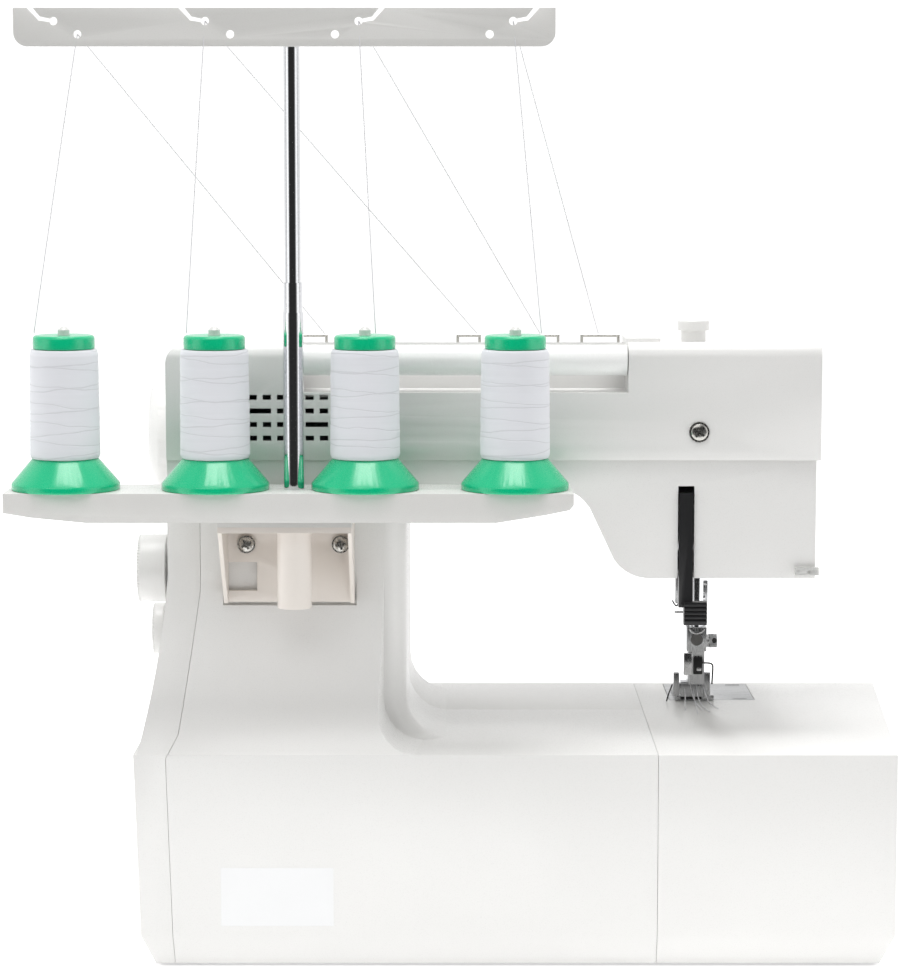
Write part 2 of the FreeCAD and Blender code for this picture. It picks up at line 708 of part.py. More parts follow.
def needle_parts():
    """Needle bar, its clamp with three needles, and the looper below them."""
    finish(rod("needle_bar_shape", "Z", ("-needle_x", "-shaft_y"), "bar_radius", ("172", "256")),
           "needle_bar")
    block = box("clamp_block", ("-needle_x - 6", "-needle_x + 6"), ("-shaft_y - 4.5", "-shaft_y + 4.5"),
                ("159", "172"))
    screws = [rod("clamp_screw_%d" % (place_ + 1), "Y", ("-needle_x + %d" % across, "165.5"), "1.9",
                  ("-shaft_y + 4.5", "-shaft_y + 9")) for place_, across in enumerate((-4, 0, 4))]
    hook = rod("clamp_hook", "X", ("-shaft_y", "162"), "0.6", ("-needle_x + 6", "-needle_x + 11"))
    finish(joined("needle_clamp_shape", [block, hook] + screws), "needle_clamp")
    needles = []
    for index, across in enumerate((-3, 0, 3)):
        at = ("-needle_x + %d" % across, "-shaft_y")
        blade = rod("needle_blade_%d" % (index + 1), "Z", at, "0.5", ("123", "146"))
        shank = rod("needle_shank_%d" % (index + 1), "Z", at, "1", ("146", "159"))
        needles.append(joined("needle_%d" % (index + 1), [blade, shank]))
    group = doc.addObject("Part::Compound", "needle_group")
    group.Links = needles
    finish(group, "needles")
    hub = rod("looper_axle", "Y", ("-98", "50"), "5", ("-96", "-26"))
    arm = box("looper_arm", ("-101", "-95"), ("-shaft_y - 31.5", "-shaft_y - 26.5"), ("50", "97"))
    head = box("looper_head", ("-101", "-95"), ("-shaft_y - 31.5", "-shaft_y + 2"), ("97", "101"))
    blade = box("looper_blade", ("-119.5", "-95"), ("-shaft_y - 1.2", "-shaft_y + 1.2"), ("101", "104"))
    tie = box("looper_tie", ("-101", "-95"), ("-shaft_y - 1.2", "-shaft_y + 1.2"), ("99", "102"))
    finish(joined("looper_shape", [hub, arm, head, blade, tie]), "looper")


def presser_parts():
    """Presser bar with its foot, spring and pressure dial."""
    at = ("-needle_x", "-presser_y")
    finish(rod("presser_bar_shape", "Z", at, "presser_radius", ("holder_high", "274")), "presser_bar")
    collar = rod("spring_collar", "Z", at, "6.4", ("226 + fit_gap", "229"))
    collar_bore = rod("spring_collar_bore", "Z", at, "presser_radius + 0.5", ("220", "235"))
    coil = rod("spring_coil", "Z", at, "6", ("229", "268"))
    coil_bore = rod("spring_coil_bore", "Z", at, "presser_radius + 0.8", ("220", "270"))
    finish(cut("presser_spring_shape", joined("spring_solid", [collar, coil]),
               [collar_bore, coil_bore]), "presser_spring")
    block = box("holder_block", ("-needle_x - 5.5", "-needle_x + 5.5"), ("-presser_y - 5", "-presser_y + 5"),
                ("holder_low", "holder_high"))
    shank = box("holder_shank", ("-needle_x - 4.5", "-needle_x + 4.5"), ("-presser_y - 4.5", "-presser_y + 4"),
                ("124", "holder_low + 0.5"))
    drop = box("holder_drop", ("-needle_x - 4.5", "-needle_x + 4.5"), ("-shaft_y + 5", "-presser_y + 4"),
               ("124", "131"))
    screw = rod("holder_screw", "X", ("-presser_y", "holder_low + 5.3"), "3.6",
                ("-needle_x - 11.5", "-needle_x - 5"))
    finish(joined("foot_holder_shape", [block, shank, drop, screw]), "foot_holder")
    sole = box("foot_sole", ("-needle_x - 11", "-needle_x + 11"), ("-shaft_y - 24", "-presser_y - foot_heel"),
               ("bed_top + 0.3", "bed_top + 0.3 + sole_thick"))
    ankle = box("foot_ankle", ("-needle_x - 8", "-needle_x + 8"), ("-shaft_y + 5", "-presser_y - foot_heel + 2"),
                ("bed_top + 2.5", "124"))
    window = box("foot_window", ("-needle_x - 5", "-needle_x + 5"), ("-shaft_y - 8", "-shaft_y + 4"),
                 ("bed_top - 1", "bed_top + 5"))
    finish(cut("presser_foot_shape", joined("foot_solid", [sole, ankle]), [window]), "presser_foot")
    finish(turned("pressure_dial_shape", "Z", ("-123.9", "-presser_y"), "0", [
        ("0", "306"), ("6.8", "306"), ("6.8", "322.8"), ("8.7", "322.8"),
        ("8.7", "328"), ("8", "328.8"), ("0", "328.8")]), "pressure_dial")
    middle = "-slot_left - slot_width/2"
    span = (middle + " - lever_width/2", middle + " + lever_width/2")
    bar = box("lever_bar", span, ("column_rear - 5", "column_rear + 1.5"), ("tab_high - 3", "lever_top"))
    hub = rod("lever_hub", "X", ("lever_pivot_y", "lever_pivot_z"), "3", (middle + " - 9", middle + " + 9"))
    link = box("lever_link", span, ("lever_pivot_y - 2", "column_rear - 4"), ("lever_pivot_z - 3", "lever_top - 0.5"))
    tab = box("lever_tab", ("-tab_right", "-tab_left"), ("column_rear - 2.5", "column_rear + 4"),
              ("tab_low", "tab_high"))
    ribs = [box("lever_rib_%d" % (row + 1), ("-tab_right", "-tab_left"), ("column_rear + 4", "column_rear + 5"),
                ("tab_low + 1.4 + 2.2*%d" % row, "tab_low + 2.6 + 2.2*%d" % row)) for row in range(5)]
    finish(joined("lifter_lever_shape", [bar, hub, link, tab] + ribs), "lifter_lever")


def bed_parts():
    """Needle plate, feed teeth and the door in front of the loopers."""
    plate = box("plate_blank", ("-plate_right", "-plate_left"), ("-plate_front", "-plate_rear"),
                ("bed_top - 1.7", "bed_top"))
    slots = [box("feed_slot_%d" % (row + 1), (across, across + " + 4"), ("-shaft_y - 14", "-shaft_y + 7"),
                 ("bed_top - 5", "bed_top + 1"))
             for row, across in enumerate(("-needle_x - 9", "-needle_x + 5"))]
    needle_slot = box("needle_slot", ("-needle_x - 4.5", "-needle_x + 4.5"),
                      ("-shaft_y - 1.5", "-shaft_y + 1.5"), ("bed_top - 5", "bed_top + 1"))
    finish(cut("needle_plate_shape", plate, slots + [needle_slot]), "needle_plate")
    rows = [box("feed_row_%d" % (row + 1), (across + " + 0.6", across + " + 3.4"),
                ("-shaft_y - 11", "-shaft_y + 4"), ("bed_top - 8", "bed_top - 0.3"))
            for row, across in enumerate(("-needle_x - 9", "-needle_x + 5"))]
    carrier = box("feed_carrier", ("-needle_x - 9", "-needle_x + 9"), ("-shaft_y - 11", "-shaft_y - 5"),
                  ("bed_top - 8", "bed_top - 4.5"))
    finish(joined("feed_dogs_shape", rows + [carrier]), "feed_dogs")
    hinge_line = ("-bed_front - door_gap - door_thick/2", "door_low + hinge_height")
    door = box("door_panel", ("-door_right", "door_left"),
               ("-bed_front - door_thick - door_gap", "-bed_front - door_gap"),
               ("door_low + hinge_height", "door_high"))
    knuckle = rod("door_knuckle", "X", hinge_line, "door_thick/2", ("-door_right", "door_left"))
    grip = box("door_grip", ("-40", "-5"), ("-bed_front - 6.5", "-bed_front - door_thick"),
               ("door_high - 9", "door_high - 5"))
    pins = [rod("door_pin_%s" % side, "X", hinge_line, "door_pin_radius", span)
            for side, span in (("left", ("door_left - 4", "door_left + 4")),
                               ("right", ("-door_right - 4", "-door_right + 4")))]
    finish(joined("looper_door_shape", [door, knuckle, grip] + pins), "looper_door")


def dials():
    """Controls on the handwheel side and the tension dials in the lid."""
    def knob(name, at, start, radius, depth, shaft):
        return turned(name + "_shape", "X", at, start, [
            ("0", "-" + shaft), ("4", "-" + shaft), ("4", "0"), (radius, "0"),
            (radius, "%s - 1.2" % depth), ("(%s) - 1.2" % radius, depth), ("0", depth)])
    finish(knob("stitch_length_dial", ("dial_y", "dial_z"), "column_left + 3.5", "dial_radius", "15", "12"),
           "stitch_length_dial")
    finish(knob("differential_dial", ("-small_dial_y", "small_dial_z"), "bed_left - 5.5",
                "small_dial_radius", "6", "16"), "differential_dial")
    for dial in range(4):
        centre = tension_centre(dial)
        finish(turned("tension_dial_shape_%d" % (dial + 1), "X", ("-tension_y", "tension_z"), centre, [
            ("2.3", "-tension_width/2"), ("tension_radius - 1", "-tension_width/2"),
            ("tension_radius", "-tension_width/2 + 1"), ("tension_radius", "tension_width/2 - 1"),
            ("tension_radius - 1", "tension_width/2"), ("2.3", "tension_width/2")]),
            "tension_dial_%d" % (dial + 1))
    far = "tension_x - 3*tension_pitch - 12"
    axle = rod("tension_axle", "X", ("-tension_y", "tension_z"), "2", (far, "tension_x + 12"))
    arms = [box("tension_arm_%s" % side, span, ("-tension_y - 3", "-20"), ("266", "tension_z + 3"))
            for side, span in (("left", ("tension_x + 9", "tension_x + 12")),
                               ("right", (far, far + " + 3")))]
    bar = box("tension_bar", (far, "tension_x + 12"), ("-34", "-20"), ("276", "280"))
    cast_arm_room = box("tension_clear", ("-200", "200"), ("-36", "0"), ("200", "276"))
    shaft_room = box("tension_shaft_clear", ("-200", "200"), ("-84", "-40"), ("240", "281"))
    finish(cut("tension_bracket_shape", joined("tension_solid", [axle, bar] + arms),
               [cast_arm_room, shaft_room]), "tension_bracket")


def handle():
    """Carrying handle lying in its well, and its two pivot pins."""
    rear = "column_rear + lid_overhang"
    span = ("-handle_right - 6", "handle_left + 6")
    grip = rod("handle_grip", "X", (rear + " - 8", "lid_top - 9.5"), "8", span)
    arms = [box("handle_arm_" + side, reach, (rear + " - handle_reach - 2", rear + " - 6"),
                ("lid_top - 14.5", "lid_top - 5.5"))
            for side, reach in (("left", ("handle_left - 2", "handle_left + 6")),
                                ("right", ("-handle_right - 6", "-handle_right + 2")))]
    pivot = (rear + " - handle_reach + 2", "lid_top - 10")
    bores = [rod("handle_bore_" + side, "X", pivot, "2.5 + run_gap", reach)
             for side, reach in (("left", ("handle_left - 5", "handle_left + 9")),
                                 ("right", ("-handle_right - 9", "-handle_right + 5")))]
    finish(cut("carry_handle_shape", joined("handle_solid", [grip] + arms), bores), "carry_handle")
    pins = [rod("handle_pin_" + side, "X", pivot, "2.5", reach)
            for side, reach in (("left", ("handle_left - 4", "handle_left + 6.5")),
                                ("right", ("-handle_right - 6.5", "-handle_right + 4")))]
    group = doc.addObject("Part::Compound", "handle_pin_group")
    group.Links = pins
    finish(group, "handle_pins")


# ------------------------------------------------------------ thread stand

def stand():
    """Bracket on the column, tray with spool pins, mast and guide bar."""
    rear = "column_rear + 0.2"
    plate = box("bracket_plate", ("bracket_right", "bracket_left"), (rear, rear + " + 3"),
                ("bracket_foot", "bracket_top"))
    shelf = box("bracket_shelf", ("bracket_right", "bracket_left"), (rear, "tray_rear - 8"),
                ("bracket_top - 3", "bracket_top"))
    gussets = [prism("bracket_gusset_" + side, "YZ", [
        (rear, "bracket_foot"), ("column_rear + 8", "bracket_foot"), ("tray_rear - 10", "bracket_top - 3"),
        ("tray_rear - 10", "bracket_top"), (rear, "bracket_top")], span)
        for side, span in (("left", ("bracket_left - 2", "bracket_left")),
                           ("right", ("bracket_right", "bracket_right + 2")))]
    post = rod("bracket_post", "Z", ("mast_x", "mast_y"), "post_radius", ("bracket_foot + 2", "bracket_top"))
    bore = rod("bracket_bore", "Z", ("mast_x", "mast_y"), "mast_radius + 0.02", ("mast_foot", "bracket_top + 1"))
    recess = box("bracket_recess", ("112", "127"), ("column_rear - 1", "column_rear + 9"), ("193", "208"))
    screw_holes = [rod("bracket_hole_%d" % (index + 1), "Y", (across, "217.6"), "2.6", ("50", "70"))
                   for index, across in enumerate(BRACKET_SCREWS)]
    finish(cut("stand_bracket_shape", joined("bracket_solid", [plate, shelf, post] + gussets),
               [bore, recess] + screw_holes), "stand_bracket")
    screws = [rod("bracket_screw_head_%d" % (index + 1), "Y", (across, "217.6"), "4.6",
                  ("column_rear + 3.2", "column_rear + 5.6"))
              for index, across in enumerate(BRACKET_SCREWS)]
    screws.append(rod("head_screw_head", "Y", ("-118.5", "276"), "5.1",
                      ("column_rear + lid_overhang - 1.2", "column_rear + lid_overhang + 0.8")))
    group = doc.addObject("Part::Compound", "screw_group")
    group.Links = screws
    finish(group, "cover_screws")
    tray()
    tube = rod("mast_tube", "Z", ("mast_x", "mast_y"), "mast_radius", ("mast_foot", "mast_joint"))
    collar = rod("mast_collar", "Z", ("mast_x", "mast_y"), "collar_radius", ("mast_joint", "collar_top"))
    tube_bore = rod("mast_bore_cut", "Z", ("mast_x", "mast_y"), "mast_bore", ("mast_foot + 3", "collar_top + 1"))
    finish(cut("mast_lower_shape", joined("mast_lower_solid", [tube, collar]), [tube_bore]), "mast_lower")
    finish(rod("mast_upper_shape", "Z", ("mast_x", "mast_y"), "upper_radius",
               ("mast_joint - upper_overlap", "bar_low + 15")), "mast_upper")
    guide_bar()


BRACKET_SCREWS = ("117.4", "68.2")


def spool_at(index):
    return "spool_first - %d*spool_pitch" % index


def tray():
    """Tray that thins towards its ends, with a boss and a pin for each spool."""
    slab = prism("tray_slab", "XZ", [
        ("tray_left", "tray_top"), ("tray_left", "tray_bottom + 5"), ("tray_left - 14", "tray_bottom + 2.7"),
        ("tray_left - 42", "tray_bottom"), ("-tray_right + 39", "tray_bottom"),
        ("-tray_right + 14", "tray_bottom + 4"), ("-tray_right + 2", "tray_bottom + 6.5"),
        ("-tray_right", "tray_bottom + 9"), ("-tray_right", "tray_top")], ("tray_front", "tray_rear"))
    hollow = box("tray_hollow", ("-tray_right + 45", "tray_left - 48"), ("tray_front + 3", "tray_rear - 3"),
                 ("bracket_top - 1", "tray_top - 4"))
    mast_boss = rod("tray_mast_boss", "Z", ("mast_x", "mast_y"), "11", ("tray_bottom", "tray_top - 3.5"))
    rest = box("tray_rest", ("bracket_right", "bracket_left"), ("tray_front + 1", "tray_rear - 8"),
               ("bracket_top", "tray_bottom + 3"))
    mast_hole = rod("tray_mast_hole", "Z", ("mast_x", "mast_y"), "mast_radius + 0.02", ("200", "260"))
    pins = [turned("spool_pin_%d" % (index + 1), "Z", (spool_at(index), "mast_y"), "0", [
        ("0", "tray_top - 1"), ("pin_radius", "tray_top - 1"), ("pin_radius", "pin_top - 1.5"),
        ("pin_radius - 1.5", "pin_top"), ("0", "pin_top")]) for index in range(4)]
    body = joined("tray_solid", [cut("tray_shell", slab, [hollow]), mast_boss, rest] + pins)
    finish(cut("spool_tray_shape", body, [mast_hole]), "spool_tray")


def guide_bar():
    """Flat bar with four slits, four round holes and a socket for the mast."""
    rear = ("bar_rear - bar_thick", "bar_rear")
    bar = prism("bar_blank", "XZ", [
        ("bar_left - bar_corner", "bar_low", "bar_corner", "left"), ("bar_left", "bar_low + bar_corner"),
        ("bar_left", "bar_high"), ("-bar_right", "bar_high"),
        ("-bar_right", "bar_low + bar_corner", "bar_corner", "left"),
        ("-bar_right + bar_corner", "bar_low")], rear)
    socket = box("bar_socket", ("mast_x - 7", "mast_x + 7"), ("mast_y - 6", "bar_rear - bar_thick"),
                 ("bar_low + 1", "bar_high - 2"))
    bore = rod("bar_bore", "Z", ("mast_x", "mast_y"), "upper_radius", ("bar_low - 1", "bar_low + 15"))
    cuts = [bore]
    reach = ("bar_rear - bar_thick - 1", "bar_rear + 1")
    for index, (hole, slit, side) in enumerate(BAR_HOLES):
        cuts.append(rod("bar_round_hole_%d" % (index + 1), "Y", (hole, "bar_low + 6"), "bar_hole", reach))
        cuts.append(rod("bar_slit_end_%d" % (index + 1), "Y", (slit, "bar_high - 6.5"), "bar_hole", reach))
        out = "%s + %s*" % (slit, side)
        cuts.append(prism("bar_slit_%d" % (index + 1), "XZ", [
            (slit, "bar_high - 7.4"), (out + "slit_run*0.6", "bar_high - 6.2"),
            (out + "(slit_run + slit_width)", "bar_high + 1"),
            (out + "(slit_run - slit_width)", "bar_high + 1"),
            (out + "(slit_run*0.6 - slit_width/2)", "bar_high - 4.2"), (slit, "bar_high - 5.6")], reach))
    finish(cut("thread_guide_bar_shape", joined("bar_solid", [bar, socket]), cuts), "thread_guide_bar")


# Round hole, slit end and the side to which the slit opens, for each thread.
BAR_HOLES = (("197.1", "209", "1"), ("120.9", "133.4", "1"), ("68.6", "56.8", "(-1)"),
             ("-8.6", "-20.3", "(-1)"))


def spools():
    """Four cone spools with their thread packs."""
    for index in range(4):
        at = (spool_at(index), "mast_y")
        finish(turned("spool_shape_%d" % (index + 1), "Z", at, "tray_top", [
            ("spool_bore", "0"), ("spool_flange", "0"), ("spool_flange", "3.2"),
            ("pack_radius - 0.6", "pack_foot"), ("pack_core", "pack_foot"), ("pack_core", "pack_head"),
            ("cap_radius", "pack_head"), ("cap_radius", "spool_height - 1"),
            ("cap_radius - 1", "spool_height"), ("spool_bore", "spool_height")]),
            "spool_%d" % (index + 1))
        finish(turned("pack_shape_%d" % (index + 1), "Z", at, "tray_top", [
            ("pack_core", "pack_foot + 0.1"), ("pack_radius + 0.8", "pack_foot + 0.1"),
            ("pack_radius", "45"), ("pack_radius - 0.4", "pack_head - 0.1"),
            ("pack_core", "pack_head - 0.1")]), "thread_pack_%d" % (index + 1))


def lid_guides():
    """Bent wire thread guides on the lid."""
    wires = []
    for index in range(4):
        first, second = GUIDE_LEGS[2 * index], GUIDE_LEGS[2 * index + 1]
        legs = [rod("guide_leg_%d_%d" % (index, side), "Z", (across, "-30"), "0.8", ("312", "321"))
                for side, across in enumerate((first, second))]
        top = rod("guide_top_%d" % index, "X", ("-30", "321"), "0.8", (second + " - 0.8", first + " + 0.8"))
        wires.append(joined("guide_wire_%d" % (index + 1), legs + [top]))
    group = doc.addObject("Part::Compound", "guide_group")
    group.Links = wires
    finish(group, "top_thread_guides")


def small_fittings():
    """Thread cutter, power inlet and switch."""
    arm = box("cutter_arm", ("-head_right - 1.5", "-head_right + 11"), ("column_rear", "column_rear + 3.5"),
              ("head_floor + 2", "head_floor + 6"))
    nick = box("cutter_nick", ("-head_right + 3.4", "-head_right + 5"), ("column_rear + 0.8", "column_rear + 4"),
               ("head_floor + 1", "head_floor + 4.5"))
    finish(cut("thread_cutter_shape", arm, [nick]), "thread_cutter")
    inlet = box("inlet_body", ("seam_edge - 14", "bed_left - 1.5"), ("-19.7", "11.7"), ("28.3", "51.7"))
    throat = box("inlet_throat", ("bed_left - 14", "bed_left"), ("-15", "7"), ("32", "48"))
    finish(cut("power_inlet_shape", inlet, [throat]), "power_inlet")
    rocker = rod("switch_rocker", "Y", ("bed_left - 11.5", "40"), "11", ("24.5", "39.5"))
    keep = box("switch_keep", ("bed_left - 14", "bed_left + 5"), ("20", "45"), ("30", "50"))
    finish(shared("power_switch_shape", [rocker, keep]), "power_switch")


# ----------------------------------------------------------------- threads

def taut_tube(name, route):
    """A fine tube along straight runs joined by tangent arcs."""
    corners = [Vector(*[number(text) for text in spot_]) for spot_ in route]
    edges = []
    start = corners[0]
    for index in range(1, len(corners) - 1):
        before, corner, after = corners[index - 1], corners[index], corners[index + 1]
        back = (before - corner)
        ahead = (after - corner)
        reach = 0.45 * min(back.Length, ahead.Length)
        back.normalize()
        ahead.normalize()
        inward = (back + ahead).normalize()
        half = math.acos(back.dot(ahead)) / 2
        radius = reach * math.tan(half)
        centre = corner + inward * (reach / math.cos(half))
        enter, leave = corner + back * reach, corner + ahead * reach
        edges.append(Part.LineSegment(start, enter).toShape())
        edges.append(Part.Arc(enter, centre - inward * radius, leave).toShape())
        start = leave
        print("%s bend %d: radius %.2f mm" % (name, index, radius))
    edges.append(Part.LineSegment(start, corners[-1]).toShape())
    path = Part.Wire(edges)
    section = Part.Wire(Part.Circle(corners[0], corners[1] - corners[0], number("thread_radius")).toShape())
    tube = doc.addObject("Part::Feature", name + "_shape")
    tube.Shape = path.makePipeShell([section], True, False)
    print("%s length %.1f mm, volume ratio %.4f" % (
        name, path.Length, tube.Shape.Volume / (path.Length * math.pi * number("thread_radius") ** 2)))
    finish(tube, name)


def threads():
    """Each thread rises from its spool, passes the guide bar and falls to the lid."""
    for index, (start, hole, height, guide) in enumerate(THREAD_ENDS):
        behind = "bar_rear + 2.5"
        ahead = "bar_rear - bar_thick - 2.5"
        taut_tube("thread_%d" % (index + 1), [
            (start, "mast_y + 4", "tray_top + spool_height + 1.2"),
            (hole, behind, height), (hole, ahead, height),
            (guide, "-29", "322.3")])


# Where each thread leaves its spool, the hole it passes and the guide it reaches.
THREAD_ENDS = (
    ("221.5", "197.1", "bar_low + 6", "80"), ("144.5", "133.4", "bar_high - 6.5", "-3.5"),
    ("48.8", "56.8", "bar_high - 6.5", "-38"), ("-35", "-20.3", "bar_high - 6.5", "-70"))


def write_parts():
    """Check every object, then write one file for each sub-part."""
    doc.recompute()
    for item in doc.Objects:
        if "Invalid" in item.State or "Error" in item.State:
            raise RuntimeError("%s did not recompute: %s" % (item.Name, item.State))
    for node in PARTS:
        if node.Shape.isNull() or not node.Shape.isValid() or not node.Shape.Solids:
            raise RuntimeError("%s has no valid solid" % node.Label)
    os.makedirs("parts", exist_ok=True)
    for node in PARTS:
        node.Shape.exportStep(os.path.join("parts", node.Label + ".step"))
    print("%d sub-parts written" % len(PARTS))


casing_covers()
base_plate()
rubber_feet()
head_cover()
top_cover()
frame_casting()
drive()
needle_parts()
presser_parts()
bed_parts()
dials()
handle()
stand()
spools()
lid_guides()
small_fittings()
threads()
write_parts()
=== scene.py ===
import json
import math

import bpy
from mathutils import Matrix, Vector


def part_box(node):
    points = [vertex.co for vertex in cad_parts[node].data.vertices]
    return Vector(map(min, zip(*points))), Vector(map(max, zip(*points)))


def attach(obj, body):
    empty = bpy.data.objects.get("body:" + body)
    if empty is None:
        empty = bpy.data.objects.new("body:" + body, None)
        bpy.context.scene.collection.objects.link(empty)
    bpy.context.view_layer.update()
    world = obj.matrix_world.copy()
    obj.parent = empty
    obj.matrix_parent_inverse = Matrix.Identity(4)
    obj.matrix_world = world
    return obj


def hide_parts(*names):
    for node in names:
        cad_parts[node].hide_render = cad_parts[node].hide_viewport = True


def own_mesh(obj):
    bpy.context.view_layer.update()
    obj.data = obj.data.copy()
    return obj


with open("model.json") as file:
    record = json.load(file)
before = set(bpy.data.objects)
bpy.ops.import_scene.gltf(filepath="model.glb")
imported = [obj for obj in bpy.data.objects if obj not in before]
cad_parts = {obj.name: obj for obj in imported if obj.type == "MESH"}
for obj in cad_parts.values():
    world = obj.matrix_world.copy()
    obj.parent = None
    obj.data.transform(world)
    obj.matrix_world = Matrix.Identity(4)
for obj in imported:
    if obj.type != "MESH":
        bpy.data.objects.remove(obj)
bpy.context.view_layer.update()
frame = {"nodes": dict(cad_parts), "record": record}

NODES = frame["nodes"]
SCENE = bpy.context.scene
MM = 0.001


# ------------------------------------------------------------- materials

def new_material(name):
    material = bpy.data.materials.new(name)
    material.use_nodes = True
    tree = material.node_tree
    return material, tree, tree.nodes["Principled BSDF"]


def object_noise(tree, scale, detail=4.0):
    """Noise that sits in the piece's own space."""
    place = tree.nodes.new("ShaderNodeTexCoord")
    noise = tree.nodes.new("ShaderNodeTexNoise")
    noise.inputs["Scale"].default_value = scale
    noise.inputs["Detail"].default_value = detail
    tree.links.new(place.outputs["Object"], noise.inputs["Vector"])
    return noise


def spread(tree, source, socket, low, high):
    """Send a pattern to a socket, between two values."""
    spread_node = tree.nodes.new("ShaderNodeMapRange")
    spread_node.inputs["From Min"].default_value = 0.3
    spread_node.inputs["From Max"].default_value = 0.7
    spread_node.inputs["To Min"].default_value = low
    spread_node.inputs["To Max"].default_value = high
    tree.links.new(source, spread_node.inputs["Value"])
    tree.links.new(spread_node.outputs["Result"], socket)


def two_tones(tree, source, socket, dark, light):
    """Send a pattern to a colour socket, between two close tones."""
    ramp = tree.nodes.new("ShaderNodeValToRGB")
    ramp.color_ramp.elements[0].position = 0.3
    ramp.color_ramp.elements[1].position = 0.7
    ramp.color_ramp.elements[0].color = (*dark, 1)
    ramp.color_ramp.elements[1].color = (*light, 1)
    tree.links.new(source, ramp.inputs["Fac"])
    tree.links.new(ramp.outputs["Color"], socket)


def add_bump(tree, shader, height, strength, distance):
    bump = tree.nodes.new("ShaderNodeBump")
    bump.inputs["Strength"].default_value = strength
    bump.inputs["Distance"].default_value = distance
    tree.links.new(height, bump.inputs["Height"])
    tree.links.new(bump.outputs["Normal"], shader.inputs["Normal"])
    return bump


def moulded(name, colour, roughness, grain=0.12, coat=0.0):
    """Injection-moulded plastic: fine spark-eroded grain and slight tone drift."""
    material, tree, shader = new_material(name)
    drift = object_noise(tree, 9.0, 2.0)
    dark = [part * 0.965 for part in colour]
    two_tones(tree, drift.outputs["Fac"], shader.inputs["Base Color"], dark, colour)
    fine = object_noise(tree, 2600.0, 3.0)
    spread(tree, fine.outputs["Fac"], shader.inputs["Roughness"], roughness - 0.05, roughness + 0.06)
    add_bump(tree, shader, fine.outputs["Fac"], grain, 0.00006)
    shader.inputs["IOR"].default_value = 1.5
    shader.inputs["Coat Weight"].default_value = coat
    shader.inputs["Coat Roughness"].default_value = 0.12
    return material


def metal(name, colour, roughness, brushed=0.0, stretch=(1, 1, 1)):
    """Bare or plated metal, with brush lines where it is ground."""
    material, tree, shader = new_material(name)
    shader.inputs["Metallic"].default_value = 1.0
    place = tree.nodes.new("ShaderNodeTexCoord")
    mapping = tree.nodes.new("ShaderNodeMapping")
    mapping.inputs["Scale"].default_value = stretch
    noise = tree.nodes.new("ShaderNodeTexNoise")
    noise.inputs["Scale"].default_value = 900.0
    noise.inputs["Detail"].default_value = 5.0
    tree.links.new(place.outputs["Object"], mapping.inputs["Vector"])
    tree.links.new(mapping.outputs["Vector"], noise.inputs["Vector"])
    dark = [part * 0.86 for part in colour]
    two_tones(tree, noise.outputs["Fac"], shader.inputs["Base Color"], dark, colour)
    spread(tree, noise.outputs["Fac"], shader.inputs["Roughness"], roughness * 0.8, roughness * 1.3)
    if brushed:
        add_bump(tree, shader, noise.outputs["Fac"], brushed, 0.00005)
    return material


def cast_metal(name, colour):
    """Sand-textured casting."""
    material, tree, shader = new_material(name)
    shader.inputs["Metallic"].default_value = 0.7
    noise = object_noise(tree, 700.0, 6.0)
    two_tones(tree, noise.outputs["Fac"], shader.inputs["Base Color"],
              [part * 0.7 for part in colour], colour)
    spread(tree, noise.outputs["Fac"], shader.inputs["Roughness"], 0.5, 0.7)
    add_bump(tree, shader, noise.outputs["Fac"], 0.5, 0.0004)
    return material


def rubber(name):
    material, tree, shader = new_material(name)
    noise = object_noise(tree, 1500.0, 4.0)
    two_tones(tree, noise.outputs["Fac"], shader.inputs["Base Color"],
              (0.018, 0.018, 0.018), (0.04, 0.04, 0.04))
    spread(tree, noise.outputs["Fac"], shader.inputs["Roughness"], 0.65, 0.85)
    add_bump(tree, shader, noise.outputs["Fac"], 0.4, 0.0002)
    return material


# Lean in radians, bands per 0.314 m and wobble: level ridges first, then the winds that cross them.
WINDS = ((0.010, 420.0, 0.5), (0.075, 34.0, 1.6), (-0.060, 27.0, 1.6))
RIDGE_SHARE = 0.12
GROOVE_WIDTH = 0.012


